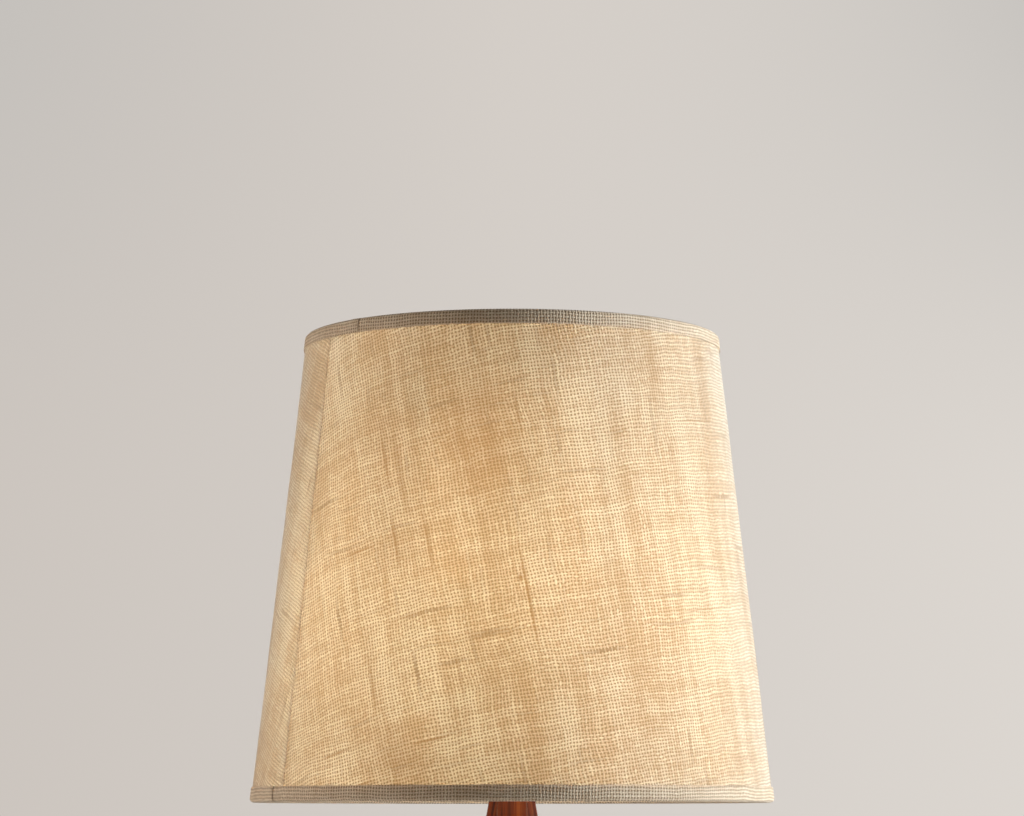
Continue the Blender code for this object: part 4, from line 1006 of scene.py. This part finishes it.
def buildSocket():
    low, high, wide = measure("socket_cap")
    pipe, collar = pipeBore, pipeBore + 0.0052
    dome = [(pipe, low), (pipe + 0.0030, low), (pipe + 0.0032, low + 0.0012), (collar, low + 0.0017)]
    dome += [(collar + (wide - collar) * sin(radians(a)),
              low + 0.0017 + 0.0062 * (1 - cos(radians(a)))) for a in range(15, 91, 15)]
    dome += [(wide, high - 0.0030), (wide + 0.0004, high - 0.0024), (wide + 0.0004, high - 0.0006),
             (wide, high), (wide - 0.0006, high), (wide - 0.0006, low + 0.009),
             (pipe + 0.004, low + 0.003), (pipe, low + 0.0024)]
    turnedPiece("socketCap", dome, satinBrass, ("socket_cap",), sides=80)

    # the shell's wall has a true hole for the switch's stem, so it stays, with finer beads on it
    shellLow, shellHigh = lowOf("socket_shell"), highOf("socket_shell")
    for index, z in enumerate((shellLow + 0.0012, shellHigh - 0.0058, shellHigh - 0.0009)):
        bead = [(wide - 0.0001, z - 0.0007), (wide + 0.0004, z - 0.0004), (wide + 0.0006, z),
                (wide + 0.0004, z + 0.0004), (wide - 0.0001, z + 0.0007)]
        turnedPiece("shellBead_" + str(index + 1), bead, satinBrass, sides=80)

    low, high, radius = measure("bulb_screw_base")
    threadDepth, threadPitch = 0.0011, 0.0036
    threadedPiece("bulbThread", radius, radius - 2 * threadDepth, threadDepth, threadPitch, low + 0.0030,
                  high - 0.0012, contactBrass, ("bulb_screw_base",), body="bulb", sides=72)
    neck = [(0.0, low), (radius - 0.0042, low), (radius - 0.0018, low + 0.0018),
            (radius - 0.0010, low + 0.0032), (0.0, low + 0.0032)]
    turnedPiece("bulbBaseCup", neck, contactBrass, body="bulb", closed=False)
    inner, rimLow = radius - 2 * threadDepth, high - 0.0014
    rim = roundOff([(inner, rimLow), (radius, rimLow), (radius, high), (inner, high)], 0.0004)
    turnedPiece("bulbBaseRim", rim, contactBrass, body="bulb")


knobShape = {"bore": 0.0019, "flutes": 16, "perFlute": 6, "grip": 0.00055}


def buildKnob():
    low, high = nodeBoxes["switch_knob"]
    axisZ = (low[2] + high[2]) / 2
    nearY, farY = high[1], low[1]
    radius, length = radiusOf("switch_knob"), nearY - farY
    bore, flutes = knobShape["bore"], knobShape["flutes"]
    sides = flutes * knobShape["perFlute"]
    levels = [(0.0, 0.74), (0.0004, 0.80), (0.0012, 0.83), (0.0018, 0.97), (0.0024, 1.0),
              (length - 0.0026, 0.955), (length - 0.0012, 0.93), (length - 0.0004, 0.85), (length, 0.70)]
    work = bmesh.new()
    rings = []
    for level, share in levels:
        grip = knobShape["grip"] if 0.0018 < level < length - 0.0012 else 0.0
        ring = []
        for step in range(sides):
            turn = 2 * pi * step / sides
            r = radius * share - grip * (0.5 - 0.5 * cos(flutes * turn))
            ring.append(work.verts.new((r * cos(turn), nearY - level, axisZ + r * sin(turn))))
        rings.append(ring)
    inner = [[work.verts.new((bore * cos(2 * pi * s / sides), y, axisZ + bore * sin(2 * pi * s / sides)))
              for s in range(sides)] for y in (nearY, farY + 0.003)]
    joinRings(work, list(zip(rings, rings[1:])) + [(rings[0], inner[0]), (inner[0], inner[1])])
    work.faces.new(rings[-1])
    work.faces.new(inner[1])
    finishPiece("turnKnob", work, blackMoulded, ("switch_knob",), body="switch")


def buildPipePieces():
    low, high, wide = measure("top_cap")
    bore = pipeBore
    cap = [(bore, low), (wide - 0.0004, low), (wide, low + 0.0004), (wide, low + 0.0018),
           (wide - 0.0004, low + 0.0023), (wide - 0.0012, low + 0.0026), (wide - 0.0016, low + 0.0032),
           (wide - 0.0030, high - 0.0002), (wide - 0.0042, high), (bore, high)]
    turnedPiece("topCapPlate", cap, satinBrass, ("top_cap",), sides=96)
    low, high, wide = measure("neck_spacer")
    tall = high - low
    neck = [(bore, low), (wide - 0.0003, low), (wide, low + 0.0003), (wide, low + 0.0022),
            (wide - 0.0004, low + 0.0028)]
    neck += [(wide - 0.0004 - 0.0013 * sin(pi * k / 12), low + 0.0028 + (tall - 0.0056) * k / 12)
             for k in range(1, 12)]
    neck += [(wide - 0.0004, high - 0.0028), (wide, high - 0.0022), (wide, high - 0.0003),
             (wide - 0.0003, high), (bore, high)]
    turnedPiece("neckSpacer", neck, satinBrass, ("neck_spacer",))
    low, high, wide = measure("lower_washer")
    washer = roundOff([(bore, low), (wide, low), (wide, high), (bore, high)], 0.0004)
    turnedPiece("lowerWasher", washer, platedSteel, ("lower_washer",))
    threadHigh = lowOf("hub_block") + 0.010
    threadedPiece("pipeThread", 0.0050, 0.0035, 0.0003, 0.00094, lowOf("lamp_pipe"), threadHigh,
                  platedSteel, sides=48, fade=0.0004)
    low, high = lowOf("cord_bushing"), lowOf("lamp_pipe") - 0.0001
    bushing = [(0.0025, high + 0.008), (0.0025, low + 0.0006), (0.0029, low), (0.0042, low),
               (0.0049, low + 0.0006), (0.0049, high), (0.0031, high), (0.0031, high + 0.008)]
    turnedPiece("inletBushing", bushing, blackMoulded, ("cord_bushing",), sides=48)
    for place in ("front", "back_left", "back_right"):
        node = "foot_pad_" + place
        low, high, wide = measure(node)
        head, hole, floor = 0.0035, 0.0018, low + 0.0036
        pad = [(head, low), (wide - 0.0012, low), (wide - 0.0004, low + 0.0004), (wide, low + 0.0012),
               (wide, low + 0.0022), (wide - 0.0005, low + 0.0027), (wide, low + 0.0032),
               (wide, high - 0.0005), (wide - 0.0005, high), (hole, high), (hole, floor), (head, floor)]
        turnedPiece("footPad_" + place, pad, padRubber, (node,), sides=48, at=centreOf(node))


buildSocket()
buildKnob()
buildPipePieces()
print("socket and pipe pieces ready")


# bulb

bulbShape = {
    "wall": 0.0012,
    "ribs": 24,
    "ribDepth": 0.0009,
    "seat": 0.0213,         # radius of the board's seat
    "chips": 12,
    "chipCircle": 0.0145,
    "chip": (0.0028, 0.0034, 0.0007),
}


def buildBulb():
    low, high, wide = measure("bulb_globe")
    equator = high - wide
    wall = bulbShape["wall"]
    outside = [(wide - 0.0010, low), (wide - 0.0006, low + 0.002)]
    outside += [(wide * cos(radians(a)), equator + wide * sin(radians(a))) for a in range(-14, 90, 4)]
    inside = [((wide - wall) * cos(radians(a)), equator + (wide - wall) * sin(radians(a)))
              for a in range(88, -15, -6)]
    outline = outside + [(0.0, high), (0.0, high - wall)] + inside + [(wide - 0.0010 - wall, low)]
    turnedPiece("bulbGlobe", outline, litGlobe, ("bulb_globe",), body="bulb", sides=80)

    low, high = lowOf("bulb_housing"), highOf("bulb_housing")
    base, wide = radiusOf("bulb_screw_base"), radiusOf("bulb_housing")
    ribs = bulbShape["ribs"]
    sides = 6 * ribs
    work = bmesh.new()
    rings = []
    rows = 16
    for row in range(rows + 1):
        t = row / rows
        z = low + (high - 0.0030 - low) * t
        r = base + (wide - base) * (1 - cos(pi * t / 2)) ** 0.9
        deep = bulbShape["ribDepth"] * sin(pi * min(max((t - 0.12) / 0.80, 0.0), 1.0)) ** 0.5
        ring = []
        for step in range(sides):
            turn = 2 * pi * step / sides
            groove = deep * max(0.0, cos(ribs * turn)) ** 2
            ring.append(work.verts.new(((r - groove) * cos(turn), (r - groove) * sin(turn), z)))
        rings.append(ring)
    seat, floor = bulbShape["seat"], high - 0.0019
    for radius, z in ((wide, high - 0.0004), (wide - 0.0005, high), (seat, high), (seat, floor),
                      (0.002, floor)):
        rings.append(ringOf(work, radius, z, sides))
    joinRings(work, zip(rings, rings[1:]))
    work.faces.new(rings[0])
    work.faces.new(rings[-1])
    finishPiece("bulbHousing", work, whiteMoulded, ("bulb_housing",), body="bulb")

    size, count = bulbShape["chip"], bulbShape["chips"]
    middle = highOf("led_board") + size[2] / 2
    for index in range(count):
        turn = Matrix.Rotation(2 * pi * index / count, 4, "Z")
        chip = bmesh.new()
        bmesh.ops.create_cube(chip, size=1.0)
        bmesh.ops.scale(chip, vec=size, verts=chip.verts)
        bmesh.ops.translate(chip, vec=(bulbShape["chipCircle"], 0, middle), verts=chip.verts)
        bmesh.ops.bevel(chip, geom=chip.edges[:], offset=0.00015, segments=2, affect="EDGES")
        bmesh.ops.transform(chip, matrix=turn, verts=chip.verts)
        finishPiece("ledChip_" + str(index + 1), chip, fibrePaper, body="bulb")


buildBulb()
print("bulb ready")


# finishes for the nodes that stay as they are

legAzimuths = {"front": -90, "back_right": 30, "back_left": 150}


legTop = 0.0164         # how far the front leg's outer face stands from the axis under the shade


def legLean():
    low = nodeBoxes["leg_front"][0]
    return atan((-low[1] - legTop) / (bottomEdge - low[2]))


def dressNode(node, material):
    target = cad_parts[node]
    if not target.material_slots:
        target.data.materials.append(material)
    for slot in target.material_slots:
        slot.material = material


def dressNodes():
    lean = legLean()
    shifts = {"front": (0.0, 0.006, 0.4), "back_right": (0.013, -0.02, 1.7),
              "back_left": (-0.017, 0.011, 3.1)}
    for place, degrees in legAzimuths.items():
        dressNode("leg_" + place, makeWood("stainedWood_" + place, radians(degrees), lean, shifts[place]))
        dressNode("leg_bolt_" + place, darkOxide)
        dressNode("foot_screw_" + place, darkOxide)
        dressNode("bolt_insert_" + place, satinBrass)
    dressNode("hub_block", makeWood("stainedWood_hub", 0.0, 0.0, (0.02, 0.03, 5.2)))
    plain = {"lamp_pipe": platedSteel, "lower_nut": satinBrass, "harp_saddle": platedSteel,
             "ring_top": platedSteel, "ring_bottom": platedSteel, "socket_shell": satinBrass,
             "socket_insulator": fibrePaper, "socket_body": blackMoulded,
             "socket_screw_shell": contactBrass, "socket_contact": contactBrass,
             "terminal_screw_brass": contactBrass, "terminal_screw_silver": platedSteel,
             "switch_stem": satinBrass, "bulb_tip": contactBrass, "bulb_insulator": blackMoulded,
             "led_board": boardWhite}
    for node, material in plain.items():
        dressNode(node, material)


dressNodes()
print("kept nodes dressed")


# studio: floor, world, lights and camera

studio = {
    "floor": (0.62, 0.60, 0.57),
    "floorFade": (1.0, 3.2),        # metres from the lamp
    "ambientColour": (1.0, 0.88, 0.74),
    "glowColour": (1.0, 0.85, 0.60),
    "glowHeight": 0.055,            # over the shade's lower edge
    "windowSize": (1.2, 1.6),
    "eyeBelowRim": 0.0148,
    "distance": 2.949,
    "tiltUp": radians(6.91),
    "lens": 119.4,
    "ambient": 0.11,
    "keyPower": 118.0,
    "sidePower": 38.0,
    "glowPower": 3.9,
}


def buildFloor():
    work = bmesh.new()
    bmesh.ops.create_grid(work, x_segments=1, y_segments=1, size=30.0)
    mesh = bpy.data.meshes.new("studioFloor")
    work.to_mesh(mesh)
    work.free()
    floor = bpy.data.objects.new("studioFloor", mesh)
    bpy.context.scene.collection.objects.link(floor)
    material, tree, shader = startMaterial("paleFloor", 0.7)
    shader.inputs["Specular IOR Level"].default_value = 0.3
    cloud = noiseValue(tree, objectPoint(tree), 1.3, 4.0)
    light = studio["floor"]
    colour = blend(tree, remap(tree, cloud, 0.3, 0.7), tuple(c * 0.96 for c in light), light)
    tree.links.new(colour, shader.inputs["Base Color"])
    # far from the lamp the camera sees the pale wall through the floor, so no horizon shows
    reach = remap(tree, lengthOf(tree, objectPoint(tree)), *studio["floorFade"])
    seen = addNode(tree, "ShaderNodeLightPath").outputs["Is Camera Ray"]
    wall = addNode(tree, "ShaderNodeBsdfTransparent").outputs[0]
    far = calc(tree, "MULTIPLY", reach, seen)
    swept = addNode(tree, "ShaderNodeMixShader", {0: far, 1: shader.outputs[0], 2: wall})
    tree.links.new(swept.outputs[0], tree.nodes["Material Output"].inputs["Surface"])
    mesh.materials.append(material)


def buildWorld():
    world = bpy.data.worlds.new("studioAir")
    world.use_nodes = True
    bpy.context.scene.world = world
    tree = world.node_tree
    background = tree.nodes["Background"]
    seen = addNode(tree, "ShaderNodeLightPath").outputs["Is Camera Ray"]
    way = addNode(tree, "ShaderNodeTexCoord").outputs["Generated"]
    parts = addNode(tree, "ShaderNodeSeparateXYZ", {0: way})
    # lighter towards the lower right, a broad pool of light over the lamp
    across = remap(tree, parts.outputs[0], -0.15, 0.15, 0.0, 1.0, "LINEAR")
    up = remap(tree, parts.outputs[2], 0.08, 0.26, 0.0, 1.0)
    side = calc(tree, "POWER", calc(tree, "ABSOLUTE", calc(tree, "MULTIPLY", parts.outputs[0], 6.6)), 1.5)
    base = blend(tree, across, (0.605, 0.560, 0.520), (0.712, 0.672, 0.630))
    corner = calc(tree, "MULTIPLY", calc(tree, "MULTIPLY", up, side), 0.85, clamp=True)
    wall = blend(tree, corner, base, (0.545, 0.525, 0.500))
    colour = blend(tree, seen, studio["ambientColour"], wall)
    strength = addNode(tree, "ShaderNodeMix", {0: seen, 2: studio["ambient"], 3: 1.0}, data_type="FLOAT")
    fillSockets(tree, background, {"Color": colour, "Strength": strength.outputs[0]})


def addLight(name, location, power, colour):
    light = bpy.data.lights.new(name, "AREA")
    light.shape = "RECTANGLE"
    light.size, light.size_y = studio["windowSize"]
    light.energy = power
    light.color = colour
    lamp = bpy.data.objects.new(name, light)
    lamp.location = location
    lamp.rotation_euler = (shadeMiddle - Vector(location)).to_track_quat("-Z", "Y").to_euler()
    lamp.visible_camera = False
    bpy.context.scene.collection.objects.link(lamp)


def addGlow():
    # a hidden soft light low inside the shade, which evens out the bulb's glow
    light = bpy.data.lights.new("lowGlow", "POINT")
    light.energy = studio["glowPower"]
    light.color = studio["glowColour"]
    light.shadow_soft_size = 0.045
    lamp = bpy.data.objects.new("lowGlow", light)
    lamp.location = (0.0, 0.0, bottomEdge + studio["glowHeight"])
    lamp.visible_camera = False
    bpy.context.scene.collection.objects.link(lamp)
    lit = bpy.data.collections.new("litByGlow")
    for piece in (linerDrum, linenCover):
        lit.objects.link(piece)
    lamp.light_linking.receiver_collection = lit


def buildCamera():
    camera = bpy.data.cameras.new("studioCamera")
    camera.sensor_width = 36.0
    camera.lens = studio["lens"]
    camera.clip_end = 200.0
    holder = bpy.data.objects.new("studioCamera", camera)
    holder.location = (0.0, -studio["distance"], bottomEdge - studio["eyeBelowRim"])
    holder.rotation_euler = (pi / 2 + studio["tiltUp"], 0.0, 0.0)
    bpy.context.scene.collection.objects.link(holder)
    bpy.context.scene.camera = holder


shadeMiddle = Vector((0.0, 0.0, (bottomEdge + topEdge) / 2))
buildFloor()
buildWorld()
addLight("keyWindow", (2.7, -0.15, 1.5), studio["keyPower"], (0.94, 0.98, 1.0))
addLight("sideWindow", (-2.7, -0.15, 1.4), studio["sidePower"], (1.0, 0.89, 0.80))
addGlow()
buildCamera()
bpy.context.scene.view_settings.view_transform = "Standard"
bpy.context.scene.view_settings.look = "None"
print("studio ready")
